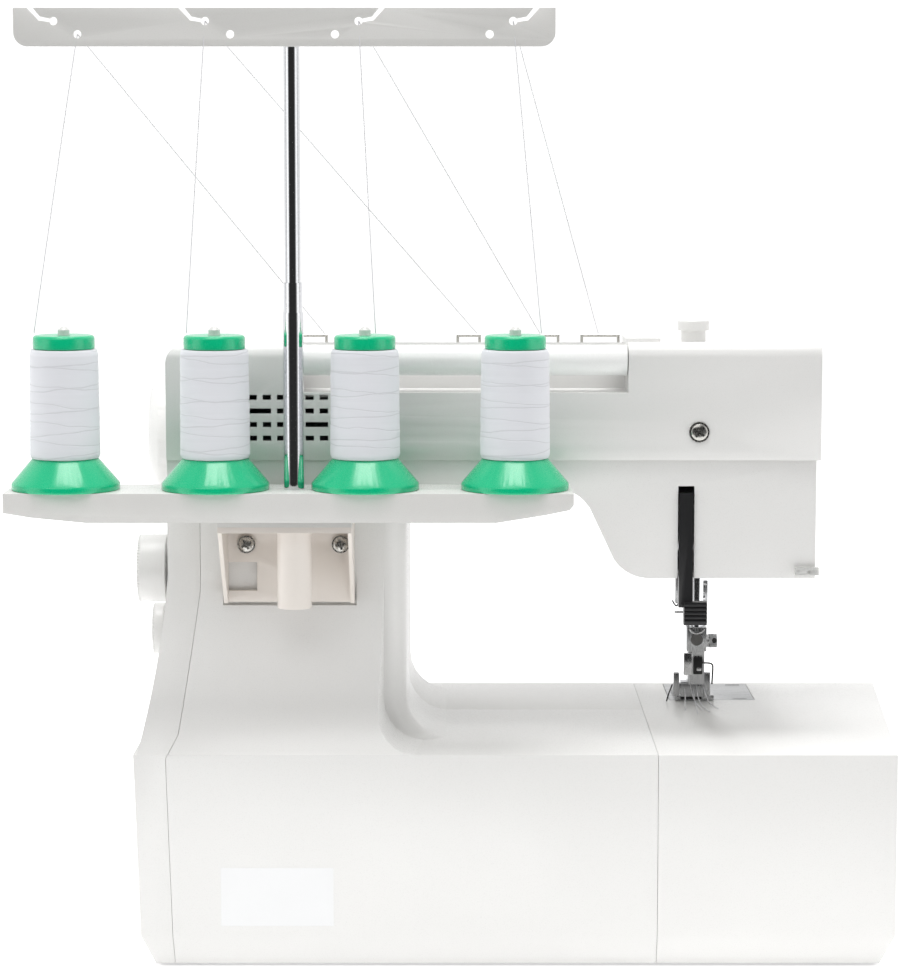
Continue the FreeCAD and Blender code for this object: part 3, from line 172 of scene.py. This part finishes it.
def wound_thread(name, colour):
    """Cross-wound spun thread: fine level ridges and a few winds that cross them, with painted shade in the
    grooves.
    """
    material, tree, shader = new_material(name)
    place = tree.nodes.new("ShaderNodeTexCoord")
    heights = []
    for lean, bands, wobble in WINDS:
        mapping = tree.nodes.new("ShaderNodeMapping")
        mapping.inputs["Rotation"].default_value = (0, lean, 0)
        wave = tree.nodes.new("ShaderNodeTexWave")
        wave.bands_direction = "Z"
        wave.inputs["Scale"].default_value = bands
        wave.inputs["Distortion"].default_value = wobble
        wave.inputs["Detail"].default_value = 2.0
        wave.inputs["Detail Scale"].default_value = 1.2
        tree.links.new(place.outputs["Object"], mapping.inputs["Vector"])
        tree.links.new(mapping.outputs["Vector"], wave.inputs["Vector"])
        heights.append(wave.outputs["Fac"])
    lines = []
    for height in heights[1:]:
        narrow = tree.nodes.new("ShaderNodeMapRange")
        narrow.inputs["From Min"].default_value = 0.0
        narrow.inputs["From Max"].default_value = GROOVE_WIDTH
        tree.links.new(height, narrow.inputs["Value"])
        lines.append(narrow.outputs["Result"])
    crossing = tree.nodes.new("ShaderNodeMath")
    crossing.operation = "MINIMUM"
    tree.links.new(lines[0], crossing.inputs[0])
    tree.links.new(lines[1], crossing.inputs[1])
    both = tree.nodes.new("ShaderNodeMath")
    both.operation = "MULTIPLY_ADD"
    both.inputs[1].default_value = RIDGE_SHARE
    tree.links.new(heights[0], both.inputs[0])
    tree.links.new(crossing.outputs["Value"], both.inputs[2])
    # The base colour is painted darker along the grooves of the crossing winds, as painted shade; the same
    # pattern drives the bump.
    ramp = tree.nodes.new("ShaderNodeValToRGB")
    ramp.color_ramp.elements[0].position = 0.0
    ramp.color_ramp.elements[0].color = (*[part * 0.86 for part in colour], 1)
    ramp.color_ramp.elements[1].position = 1.0
    ramp.color_ramp.elements[1].color = (*colour, 1)
    tree.links.new(both.outputs["Value"], ramp.inputs["Fac"])
    tree.links.new(ramp.outputs["Color"], shader.inputs["Base Color"])
    shader.inputs["Roughness"].default_value = 0.72
    shader.inputs["Sheen Weight"].default_value = 0.25
    shader.inputs["Sheen Roughness"].default_value = 0.4
    add_bump(tree, shader, both.outputs["Value"], 0.5, 0.00018)
    return material


def strand_material(name, colour):
    material, tree, shader = new_material(name)
    noise = object_noise(tree, 2200.0, 2.0)
    two_tones(tree, noise.outputs["Fac"], shader.inputs["Base Color"],
              [part * 0.85 for part in colour], colour)
    shader.inputs["Roughness"].default_value = 0.6
    shader.inputs["Sheen Weight"].default_value = 0.3
    add_bump(tree, shader, noise.outputs["Fac"], 0.4, 0.0001)
    return material


COVER = moulded("cover_white_satin", (0.80, 0.795, 0.78), 0.30, 0.08)
STAND = moulded("stand_white_satin", (0.70, 0.695, 0.675), 0.30, 0.08)
DIAL = moulded("dial_pale_grey", (0.70, 0.71, 0.71), 0.32)
GREEN = moulded("spool_green_gloss", (0.0, 0.50, 0.225), 0.26, 0.05, 0.35)
BLACK = moulded("lever_black_satin", (0.012, 0.012, 0.013), 0.36, 0.2)
# Near-black: the own colour of the dark wires, hooks and plate marks, and painted shade where it stands for
# the heel slot and the thumb-screw recess.
BLACK_AND_PAINTED_SHADE = moulded("black_and_painted_shade", (0.03, 0.03, 0.03), 0.6)
MOTOR = moulded("motor_dark_paint", (0.07, 0.075, 0.08), 0.42)
LABEL = moulded("label_film", (0.84, 0.845, 0.85), 0.16, 0.03)
CHROME = metal("chrome_plate", (0.80, 0.81, 0.83), 0.07)
PIN_GREY = metal("dark_steel", (0.20, 0.195, 0.19), 0.4, 0.1)
BRIGHT = metal("polished_steel", (0.78, 0.78, 0.79), 0.18, 0.05)
STEEL = metal("ground_steel", (0.56, 0.565, 0.575), 0.27, 0.15, (1, 1, 0.05))
PLATE = metal("brushed_plate", (0.50, 0.505, 0.51), 0.30, 0.2, (0.04, 1, 1))
NICKEL = metal("satin_nickel", (0.86, 0.86, 0.84), 0.46, 0.05)
BRACKET = moulded("bracket_warm_white", (0.76, 0.71, 0.66), 0.34, 0.08)
# The carry handle's white is raised above the cover's white as a painted highlight of the light falling on
# its top.
HANDLE_WHITE_PAINTED_HIGHLIGHT = moulded("handle_white_painted_highlight", (0.93, 0.93, 0.92), 0.26, 0.05)
ZINC = metal("zinc_screw", (0.52, 0.51, 0.48), 0.25, 0.1)
CAST = cast_metal("cast_alloy_rough", (0.42, 0.43, 0.44))
RUBBER = rubber("foot_rubber_black")
WOUND = wound_thread("wound_white_thread", (0.74, 0.75, 0.785))
STRAND = strand_material("loose_white_thread", (0.74, 0.74, 0.76))

NODE_FINISH = {
    COVER: ["rear_cover", "front_cover", "side_cover", "arm_end_cover", "head_cover", "top_cover",
            "looper_door", "handwheel", "stitch_length_dial",
            "differential_dial", "pressure_dial"],
    STAND: ["spool_tray", "thread_guide_bar"],
    BRACKET: ["stand_bracket"],
    HANDLE_WHITE_PAINTED_HIGHLIGHT: ["carry_handle"],
    NICKEL: ["thread_cutter"],
    PLATE: ["base_plate", "needle_plate", "tension_bracket"],
    STEEL: ["feed_dogs", "needle_clamp", "needles", "looper", "foot_holder", "presser_foot"],
    CHROME: ["main_shaft", "needle_bar", "presser_bar", "mast_lower", "mast_upper",
             "handle_pins", "presser_spring"],
    ZINC: ["cover_screws", "top_thread_guides"],
    CAST: ["frame_casting"],
    MOTOR: ["motor"],
    BLACK: ["motor_pulley", "shaft_pulley", "lifter_lever", "power_inlet", "power_switch"],
    RUBBER: ["rubber_feet", "drive_belt"],
    DIAL: ["tension_dial_1", "tension_dial_2", "tension_dial_3", "tension_dial_4"],
    GREEN: ["spool_1", "spool_2", "spool_3", "spool_4"],
    WOUND: ["thread_pack_1", "thread_pack_2", "thread_pack_3", "thread_pack_4"],
    STRAND: ["thread_1", "thread_2", "thread_3", "thread_4"],
}


def body_of(node):
    return next(body for body, nodes in frame["record"]["behaviour"]["bodies"].items() if node in nodes)


def dress(piece, material):
    piece.data.materials.clear()
    piece.data.materials.append(material)


def dress_nodes():
    for material, names in NODE_FINISH.items():
        for name in names:
            dress(NODES[name], material)


# ------------------------------------------------------------ modelling

def deselect():
    if bpy.context.object and bpy.context.object.mode != "OBJECT":
        bpy.ops.object.mode_set(mode="OBJECT")
    bpy.ops.object.select_all(action="DESELECT")


def take(piece):
    deselect()
    piece.select_set(True)
    bpy.context.view_layer.objects.active = piece


def smooth(piece, angle=35):
    take(piece)
    bpy.ops.object.shade_smooth_by_angle(angle=math.radians(angle))


def round_edges(piece, width, segments=3, angle=32):
    take(piece)
    bevel = piece.modifiers.new("round", "BEVEL")
    bevel.width = width * MM
    bevel.segments = segments
    bevel.limit_method = "ANGLE"
    bevel.angle_limit = math.radians(angle)
    bevel.use_clamp_overlap = True
    bpy.ops.object.modifier_apply(modifier=bevel.name)
    smooth(piece)


def settle(piece, name, body, material):
    """Name, dress and hang a finished piece on its body."""
    take(piece)
    bpy.ops.object.transform_apply(location=True, rotation=True, scale=True)
    piece.name = name
    dress(piece, material)
    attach(piece, body)
    return piece


def block(low, high):
    """A cuboid between two corners in millimetres."""
    deselect()
    centre = [(a + b) / 2 * MM for a, b in zip(low, high)]
    bpy.ops.mesh.primitive_cube_add(size=1, location=centre)
    piece = bpy.context.object
    piece.scale = [(b - a) * MM for a, b in zip(low, high)]
    bpy.ops.object.transform_apply(location=True, rotation=True, scale=True)
    return piece


TURN = {"X": Matrix.Rotation(math.pi / 2, 4, "Y"), "Y": Matrix.Rotation(-math.pi / 2, 4, "X"),
        "Z": Matrix.Identity(4)}


def put(piece, place, turn=None):
    """Turn a piece about the origin, then move it to its place in millimetres."""
    piece.matrix_world = Matrix.Translation(Vector(place) * MM) @ (turn or Matrix.Identity(4))
    take(piece)
    bpy.ops.object.transform_apply(location=True, rotation=True, scale=True)
    return piece


def lathe(profile, centre, axis="Z", steps=72):
    """Spin a half profile of (radius, height) pairs in millimetres about an axis."""
    deselect()
    bpy.ops.mesh.primitive_plane_add(size=MM)
    piece = bpy.context.object
    bpy.ops.object.mode_set(mode="EDIT")
    bpy.ops.mesh.select_all(action="SELECT")
    bpy.ops.mesh.merge(type="CENTER")
    last = (0, 0)
    for step, spot in enumerate(profile):
        shift = {"value": ((spot[0] - last[0]) * MM, 0, (spot[1] - last[1]) * MM)}
        if step:
            bpy.ops.mesh.extrude_region_move(TRANSFORM_OT_translate=shift)
        else:
            bpy.ops.transform.translate(**shift)
        last = spot
    bpy.ops.mesh.select_all(action="SELECT")
    bpy.ops.mesh.spin(steps=steps, angle=2 * math.pi, center=(0, 0, 0), axis=(0, 0, 1))
    bpy.ops.mesh.select_all(action="SELECT")
    bpy.ops.mesh.remove_doubles(threshold=0.000005)
    bpy.ops.mesh.normals_make_consistent(inside=False)
    bpy.ops.object.mode_set(mode="OBJECT")
    return put(piece, centre, TURN[axis])


def carve(piece, tool):
    """Cut one piece out of another and remove the tool."""
    take(piece)
    knife = piece.modifiers.new("carve", "BOOLEAN")
    knife.object = tool
    knife.operation = "DIFFERENCE"
    knife.solver = "EXACT"
    bpy.ops.object.modifier_apply(modifier=knife.name)
    bpy.data.objects.remove(tool)


def shell(node, width, segments=3, angle=32):
    """A copy of a moulded part with its edges rounded, which stands for it."""
    piece = bpy.data.objects.new(node + "_rounded", NODES[node].data.copy())
    SCENE.collection.objects.link(piece)
    take(piece)
    bpy.ops.object.mode_set(mode="EDIT")
    bpy.ops.mesh.select_all(action="SELECT")
    bpy.ops.mesh.remove_doubles(threshold=0.000002)
    bpy.ops.mesh.dissolve_limited(angle_limit=math.radians(0.6))
    bpy.ops.object.mode_set(mode="OBJECT")
    round_edges(piece, width, segments, angle)
    material = NODES[node].data.materials[0]
    settle(piece, node + "_rounded", body_of(node), material)
    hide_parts(node)
    return piece


dress_nodes()
ROUNDING = {
    "rear_cover": 0.8, "front_cover": 0.8, "side_cover": 0.8, "arm_end_cover": 0.8, "head_cover": 0.8,
    "top_cover": 0.5, "looper_door": 1.0, "spool_tray": 0.8, "stand_bracket": 0.5,
    "thread_guide_bar": 0.5, "carry_handle": 1.0, "lifter_lever": 0.4,
    "spool_1": 0.7, "spool_2": 0.7, "spool_3": 0.7, "spool_4": 0.7, "handwheel": 1.0,
    "stitch_length_dial": 0.6, "differential_dial": 0.6, "pressure_dial": 0.4,
    "tension_dial_1": 0.6, "tension_dial_2": 0.6, "tension_dial_3": 0.6, "tension_dial_4": 0.6,
    "presser_foot": 0.4, "foot_holder": 0.5, "needle_clamp": 0.3, "needle_plate": 0.3,
    "tension_bracket": 0.5, "power_inlet": 0.4, "power_switch": 0.4,
}
for node_name, edge in ROUNDING.items():
    shell(node_name, edge)


# --------------------------------------------------------- thread packs

def random_steps(seed):
    """A repeatable run of uneven numbers between -1 and 1."""
    state = seed
    while True:
        state = (state * 16807) % 2147483647
        yield state / 1073741823.5 - 1


PACK_BORE = 12.0
PACK_LAYERS = 64
PACK_TAPER = 0.55
PACK_SKIN = 0.15
PACK_UNEVEN = 0.07
PACK_LUMP = 0.35


def thread_pack(index):
    """Cross-wound thread on a cone, a little uneven along its height."""
    node = "thread_pack_%d" % index
    low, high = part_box(node)
    centre = (low + high) / 2
    radius = (high.x - low.x) / 2 / MM
    base, top = low.z / MM, high.z / MM
    uneven = random_steps(31 + 977 * index)
    profile = [(PACK_BORE, base)]
    for layer in range(PACK_LAYERS + 1):
        share = layer / PACK_LAYERS
        narrow = radius - PACK_SKIN - PACK_TAPER * share
        edge = 0.7 * (max(0, 1 - share * 30) + max(0, 1 - (1 - share) * 22))
        profile.append((narrow - edge + PACK_UNEVEN * next(uneven), base + (top - base) * share))
    profile.append((PACK_BORE, top))
    piece = lathe(profile, (centre.x / MM, centre.y / MM, 0), steps=96)
    lumps = bpy.data.textures.new("lumps_%d" % index, "CLOUDS")
    lumps.noise_scale = 0.012
    take(piece)
    swell = piece.modifiers.new("swell", "DISPLACE")
    swell.texture = lumps
    swell.strength = PACK_LUMP * MM
    swell.mid_level = 0.62
    bpy.ops.object.modifier_apply(modifier=swell.name)
    settle(piece, node + "_wound", body_of(node), WOUND)
    smooth(piece, 80)
    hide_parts(node)


for pack_index in range(1, 5):
    thread_pack(pack_index)


# ---------------------------------------------------------------- dials

def ribbed_ring(name, centre, radius, span, ribs, depth, body, material):
    """A grip ring with fine ribs along its axis, which is X."""
    deselect()
    bpy.ops.mesh.primitive_cylinder_add(vertices=ribs * 4, radius=radius * MM,
                                        depth=(span[1] - span[0]) * MM, location=(0, 0, 0))
    piece = bpy.context.object
    bpy.ops.object.mode_set(mode="EDIT")
    bpy.ops.mesh.select_all(action="DESELECT")
    bpy.ops.mesh.select_mode(type="VERT")
    bpy.ops.object.mode_set(mode="OBJECT")
    for vertex in piece.data.vertices:
        turn = (math.atan2(vertex.co.y, vertex.co.x) / (2 * math.pi) * ribs + 0.1) % 1
        vertex.select = turn > 0.5
    bpy.ops.object.mode_set(mode="EDIT")
    bpy.ops.transform.resize(value=(1 - depth / radius, 1 - depth / radius, 1))
    bpy.ops.object.mode_set(mode="OBJECT")
    put(piece, ((span[0] + span[1]) / 2, centre[0], centre[1]), TURN["X"])
    round_edges(piece, 0.25, 2, 40)
    return settle(piece, name, body, material)


ribbed_ring("stitch_dial_grip", (20, 199.5), 18.0, (171.3, 177.4), 64, 0.45,
            "stitch_knob", COVER)
ribbed_ring("differential_dial_grip", (-22, 160), 14.0, (168.2, 174.4), 52, 0.4,
            "differential_knob", COVER)


# --------------------------------------------------------------- screws

def cross_screw(name, centre, radius, rise, body, tilt):
    """Domed screw head facing the rear, with a four-armed recess."""
    piece = lathe([(0, rise), (radius * 0.45, rise * 0.97), (radius * 0.75, rise * 0.78),
                   (radius * 0.93, rise * 0.42), (radius, 0), (0, 0)], (0, 0, 0), "Z", 48)
    for quarter in (0, 1):
        arm = block((-radius * 0.62, -radius * 0.13, rise * 0.35),
                    (radius * 0.62, radius * 0.13, rise * 1.4))
        carve(piece, put(arm, (0, 0, 0), Matrix.Rotation(tilt + quarter * math.pi / 2, 4, "Z")))
    hub = lathe([(0, rise * 0.25), (radius * 0.2, rise * 0.3), (radius * 0.3, rise * 1.4), (0, rise * 1.4)],
                (0, 0, 0), "Z", 24)
    carve(piece, hub)
    put(piece, centre, TURN["Y"])
    smooth(piece, 30)
    return settle(piece, name, body, ZINC)


SCREWS = {
    "bracket_screw_left": ((117.4, 60.6, 217.6), 4.5, 1.9, 0.5),
    "bracket_screw_right": ((68.2, 60.6, 217.6), 4.5, 1.9, 0.2),
    "head_screw": ((-118.5, 57.9, 276), 5.0, 1.6, 0.9),
}
for screw, (centre, radius, rise, tilt) in SCREWS.items():
    cross_screw(screw, centre, radius, rise, "root", tilt)



# ---------------------------------------------------------- wires, hooks

def drawn_line(name, points, resolution):
    """A smooth open line through the neighbourhood of its points, in millimetres."""
    curve = bpy.data.curves.new(name, "CURVE")
    curve.dimensions = "3D"
    spline = curve.splines.new("NURBS")
    spline.points.add(len(points) - 1)
    for place, point in zip(spline.points, points):
        place.co = (*[part * MM for part in point], 1)
    spline.order_u = 3
    spline.use_endpoint_u = True
    curve.resolution_u = resolution
    line = bpy.data.objects.new(name + "_line", curve)
    SCENE.collection.objects.link(line)
    bpy.context.view_layer.update()
    return line


def thicken(line, name, radius, resolution):
    """Make a round mesh from a line and remove the line."""
    line.data.bevel_depth = radius * MM
    line.data.bevel_resolution = resolution
    line.data.use_fill_caps = True
    bpy.context.view_layer.update()
    piece = bpy.data.objects.new(name, bpy.data.meshes.new_from_object(line))
    SCENE.collection.objects.link(piece)
    bpy.data.objects.remove(line)
    return piece


def wire(name, points, radius, body, material):
    """A bent wire along points in millimetres."""
    piece = thicken(drawn_line(name, points, 8), name, radius, 3)
    smooth(piece, 60)
    return settle(piece, name, body, material)


def plate(name, low, high, edge, body, material, segments=3):
    """A small block with rounded edges."""
    piece = block(low, high)
    round_edges(piece, edge, segments)
    return settle(piece, name, body, material)


# ------------------------------------------------------- foot and needles

FOOT_PLATES = [
    ("foot_bright_plate", (-124.6, -47, 129.5), (-119.8, -45, 142), 0.4, BRIGHT),
    ("foot_black_insert", (-130.4, -47, 130), (-125.2, -44.4, 139.6), 0.5, BLACK),
    ("foot_insert_catch", (-129.6, -45, 132), (-127, -43.9, 133.8), 0.25, BRIGHT),
    ("foot_post_left", (-118, -56, 116), (-114.8, -52.6, 129.5), 0.5, STEEL),
    ("foot_post_right", (-135.6, -56, 116), (-131.8, -52.6, 129.5), 0.5, STEEL),
    ("foot_cross_plate", (-135.4, -56.4, 117), (-114.6, -53.4, 123.5), 0.6, STEEL),
    # A thin near-black sheet painted as the shade inside the heel slot.
    ("foot_heel_slot_painted_shade", (-131, -56.6, 113.7), (-119, -55.6, 115.4), 0.2, BLACK_AND_PAINTED_SHADE),
]
for name, low, high, edge, finish in FOOT_PLATES:
    plate(name, low, high, edge, "presser_unit", finish)
wire("foot_spring_wire",
     [(-130, -45, 136.4), (-133, -44.8, 136.6), (-135.8, -44.6, 136), (-136.3, -45, 134),
      (-136, -48, 124)], 0.45, "presser_unit", BLACK_AND_PAINTED_SHADE)
pin_face = lathe([(0, 0), (3.1, 0), (3.4, 0.3), (3.4, 1.2), (0, 1.2)], (-127, -46, 149.6), "Y", 40)
settle(pin_face, "holder_pin", "presser_unit", PIN_GREY)
smooth(pin_face, 30)
wire("holder_spring_ring",
     [(-122.6, -44.7, 155.6), (-123.8, -44.4, 153.8), (-127, -44.2, 152.9),
      (-130.2, -44.4, 153.8), (-131.4, -44.7, 155.6)], 0.4, "presser_unit", BRIGHT)
ribbed_ring("holder_thumb_screw", (-50, 148.3), 3.9, (-138.6, -134), 20, 0.3,
            "presser_unit", STEEL)
# A near-black disc painted as the shade in the thumb screw's recess.
recess_shade_disc = lathe([(0, 0), (1.4, 0), (1.4, 0.5), (0, 0.5)], (-137, -46.3, 149), "Y", 24)
settle(recess_shade_disc, "thumb_screw_recess_painted_shade", "presser_unit", BLACK_AND_PAINTED_SHADE)

plate("needle_guide_plate", (-134.2, -60.6, 168.5), (-127.6, -59.2, 181), 0.5,
      "needle_unit", STEEL)
wire("needle_guide_loop",
     [(-133.2, -58.6, 178.6), (-131, -58.4, 180), (-128.8, -58.6, 177.6), (-129.6, -58.5, 174.6),
      (-132.4, -58.6, 174.2)], 0.6, "needle_unit", BRIGHT)
plate("needle_guide_window", (-132.8, -59.4, 170), (-130, -58.9, 172.6), 0.3,
      "needle_unit", BRIGHT)
plate("head_guide_plate", (-120.2, -60.4, 168), (-115.8, -59, 186), 1.0, "root", STEEL)
wire("head_guide_hook",
     [(-118, -59.6, 168.6), (-117, -59.2, 166.4), (-115.6, -59, 167), (-114.2, -59, 169.8)], 0.4,
     "root", BLACK_AND_PAINTED_SHADE)
wire("bed_hook",
     [(-114.4, -57, 122), (-113, -54, 119.4), (-111.6, -52.4, 116.2), (-110.8, -51.6, 113.3)], 0.4,
     "presser_unit", BLACK_AND_PAINTED_SHADE)
for mark, rear in enumerate((-61.5, -105.5)):
    plate("plate_mark_%d" % (mark + 1), (-157, rear, 112.75), (-149, rear + 1.2, 113.06), 0.05, "root", BLACK_AND_PAINTED_SHADE,
          1)
TAIL_RADIUS = 0.28
TAILS = [
    [(-123.4, -60, 128), (-124.4, -51, 121.6), (-125.6, -47, 115.6), (-127.6, -38, 113.4),
     (-129, -24, 113.4)],
    [(-126.6, -60, 130), (-127.4, -51, 122), (-128.2, -46, 115.7), (-130, -34, 113.4),
     (-132.5, -20, 113.4)],
    [(-129.6, -60, 129), (-131, -51, 123), (-133, -46, 116), (-135.4, -38, 113.4),
     (-138, -30, 113.4)],
    [(-121, -60, 124), (-121.2, -51, 119), (-121, -46, 115), (-120, -36, 113.4),
     (-119.4, -26, 113.4)],
    [(-125.4, -60, 126), (-126, -50, 118), (-126.4, -45, 114), (-126.2, -34, 113.4),
     (-125.4, -16, 113.4)],
]
for tail, points in enumerate(TAILS, start=1):
    wire("thread_tail_%d" % tail, points, TAIL_RADIUS, "root", STRAND)


# --------------------------------------------------------------- label

plate("label_plate", (71.3, 95.98, 23.3), (129.4, 96.12, 53.9), 0.05,
      "root", LABEL, 1)


# --------------------------------------------------------------- threads

THREAD_RADIUS = 0.25
ROUTES = [
    [(221.5, 95, 329.7), (197.1, 100.5, 479), (197.1, 92.5, 479), (80, -29, 322.3)],
    [(144.5, 95, 329.7), (133.4, 100.5, 485.5), (133.4, 92.5, 485.5), (-3.5, -29, 322.3)],
    [(48.8, 95, 329.7), (56.8, 100.5, 485.5), (56.8, 92.5, 485.5), (-38, -29, 322.3)],
    [(-35, 95, 329.7), (-20.3, 100.5, 485.5), (-20.3, 92.5, 485.5), (-70, -29, 322.3)],
]


def strand(index, points):
    """A taut thread along its route, as a fine tube."""
    name = "strand_%d" % index
    node = "thread_%d" % index
    line = drawn_line(name, points, 12)
    path = [vertex.co.copy() for vertex in bpy.data.meshes.new_from_object(line).vertices]
    piece = thicken(line, name, THREAD_RADIUS, 2)
    settle(piece, name, "root", STRAND)
    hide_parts(node)
    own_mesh(piece)
    smooth(piece, 60)


for thread_index, route in enumerate(ROUTES, start=1):
    strand(thread_index, route)


# ------------------------------------------------------- camera and light

CAMERA_PLACE = (0.0107, 1.560, 0.4166)
CAMERA_TILT = 6.45
CAMERA_LENS = 115.74


def set_camera():
    """Behind the machine, a little above the spool tray and tilted down."""
    camera = bpy.data.cameras.new("camera")
    camera.sensor_fit = "HORIZONTAL"
    camera.sensor_width = 36
    camera.lens = CAMERA_LENS
    camera.clip_end = 30
    eye = bpy.data.objects.new("camera", camera)
    SCENE.collection.objects.link(eye)
    eye.location = CAMERA_PLACE
    eye.rotation_euler = (math.radians(90 - CAMERA_TILT), 0, math.radians(180))
    SCENE.camera = eye


# Place, aim, width and height in metres, and power in watts.
LIGHTS = {
    "key": ((0.4, 1.45, 1.35), (0, 0, 0.25), (1.6, 0.8), 6.5),
    "overhead": ((0.0, 0.25, 2.1), (0, 0, 0.2), (1.2, 1.0), 27),
    "left": ((2.0, 0.9, 0.7), (0, 0, 0.25), (1.2, 1.6), 5),
    "right": ((-2.0, 0.9, 0.7), (0, 0, 0.25), (1.2, 1.6), 4.5),
}


def area_light(name, place, aim, size, power):
    light = bpy.data.lights.new(name, "AREA")
    light.shape = "RECTANGLE"
    light.size, light.size_y = size
    light.energy = power
    lamp = bpy.data.objects.new(name, light)
    SCENE.collection.objects.link(lamp)
    lamp.location = place
    lamp.rotation_euler = (Vector(aim) - Vector(place)).to_track_quat("-Z", "Y").to_euler()


FLOOR_SIZE = 14
FLOOR_PLACE = (0, -6.3, 0)
FLOOR_GLOW = 0.42


def studio():
    deselect()
    bpy.ops.mesh.primitive_plane_add(size=FLOOR_SIZE, location=FLOOR_PLACE)
    floor = bpy.context.object
    floor.name = "floor"
    material, tree, shader = new_material("studio_floor")
    noise = object_noise(tree, 3.0)
    two_tones(tree, noise.outputs["Fac"], shader.inputs["Base Color"],
              (0.93, 0.93, 0.93), (0.95, 0.95, 0.95))
    shader.inputs["Roughness"].default_value = 0.8
    shader.inputs["Emission Color"].default_value = (1, 1, 1, 1)
    shader.inputs["Emission Strength"].default_value = FLOOR_GLOW
    dress(floor, material)
    SCENE.world = studio_world()
    for name, (place, aim, size, power) in LIGHTS.items():
        area_light(name, place, aim, size, power)


def studio_world():
    """White cyclorama, with the darker end of the room behind the camera."""
    world = bpy.data.worlds.new("studio")
    world.use_nodes = True
    tree = world.node_tree
    room = tree.nodes["Background"]
    place = tree.nodes.new("ShaderNodeTexCoord")
    axes = tree.nodes.new("ShaderNodeSeparateXYZ")
    span = tree.nodes.new("ShaderNodeMapRange")
    span.inputs["From Min"].default_value = -1
    span.inputs["From Max"].default_value = 1
    ramp = tree.nodes.new("ShaderNodeValToRGB")
    ramp.color_ramp.elements[0].position = 0.30
    ramp.color_ramp.elements[0].color = (1.0, 1.0, 1.0, 1)
    ramp.color_ramp.elements[1].position = 0.985
    ramp.color_ramp.elements[1].color = (0.03, 0.03, 0.03, 1)
    for position, tone in ((0.55, 0.60), (0.80, 0.50), (0.90, 0.03)):
        stop = ramp.color_ramp.elements.new(position)
        stop.color = (tone, tone, tone, 1)
    tree.links.new(place.outputs["Generated"], axes.inputs["Vector"])
    tree.links.new(axes.outputs["Y"], span.inputs["Value"])
    tree.links.new(span.outputs["Result"], ramp.inputs["Fac"])
    tree.links.new(ramp.outputs["Color"], room.inputs["Color"])
    backdrop = tree.nodes.new("ShaderNodeBackground")
    backdrop.inputs["Color"].default_value = (1, 1, 1, 1)
    backdrop.inputs["Strength"].default_value = 1.1
    ray = tree.nodes.new("ShaderNodeLightPath")
    mix = tree.nodes.new("ShaderNodeMixShader")
    tree.links.new(ray.outputs["Is Camera Ray"], mix.inputs["Fac"])
    tree.links.new(room.outputs["Background"], mix.inputs[1])
    tree.links.new(backdrop.outputs["Background"], mix.inputs[2])
    tree.links.new(mix.outputs["Shader"], tree.nodes["World Output"].inputs["Surface"])
    return world


set_camera()
studio()
SCENE.view_settings.view_transform = "Standard"
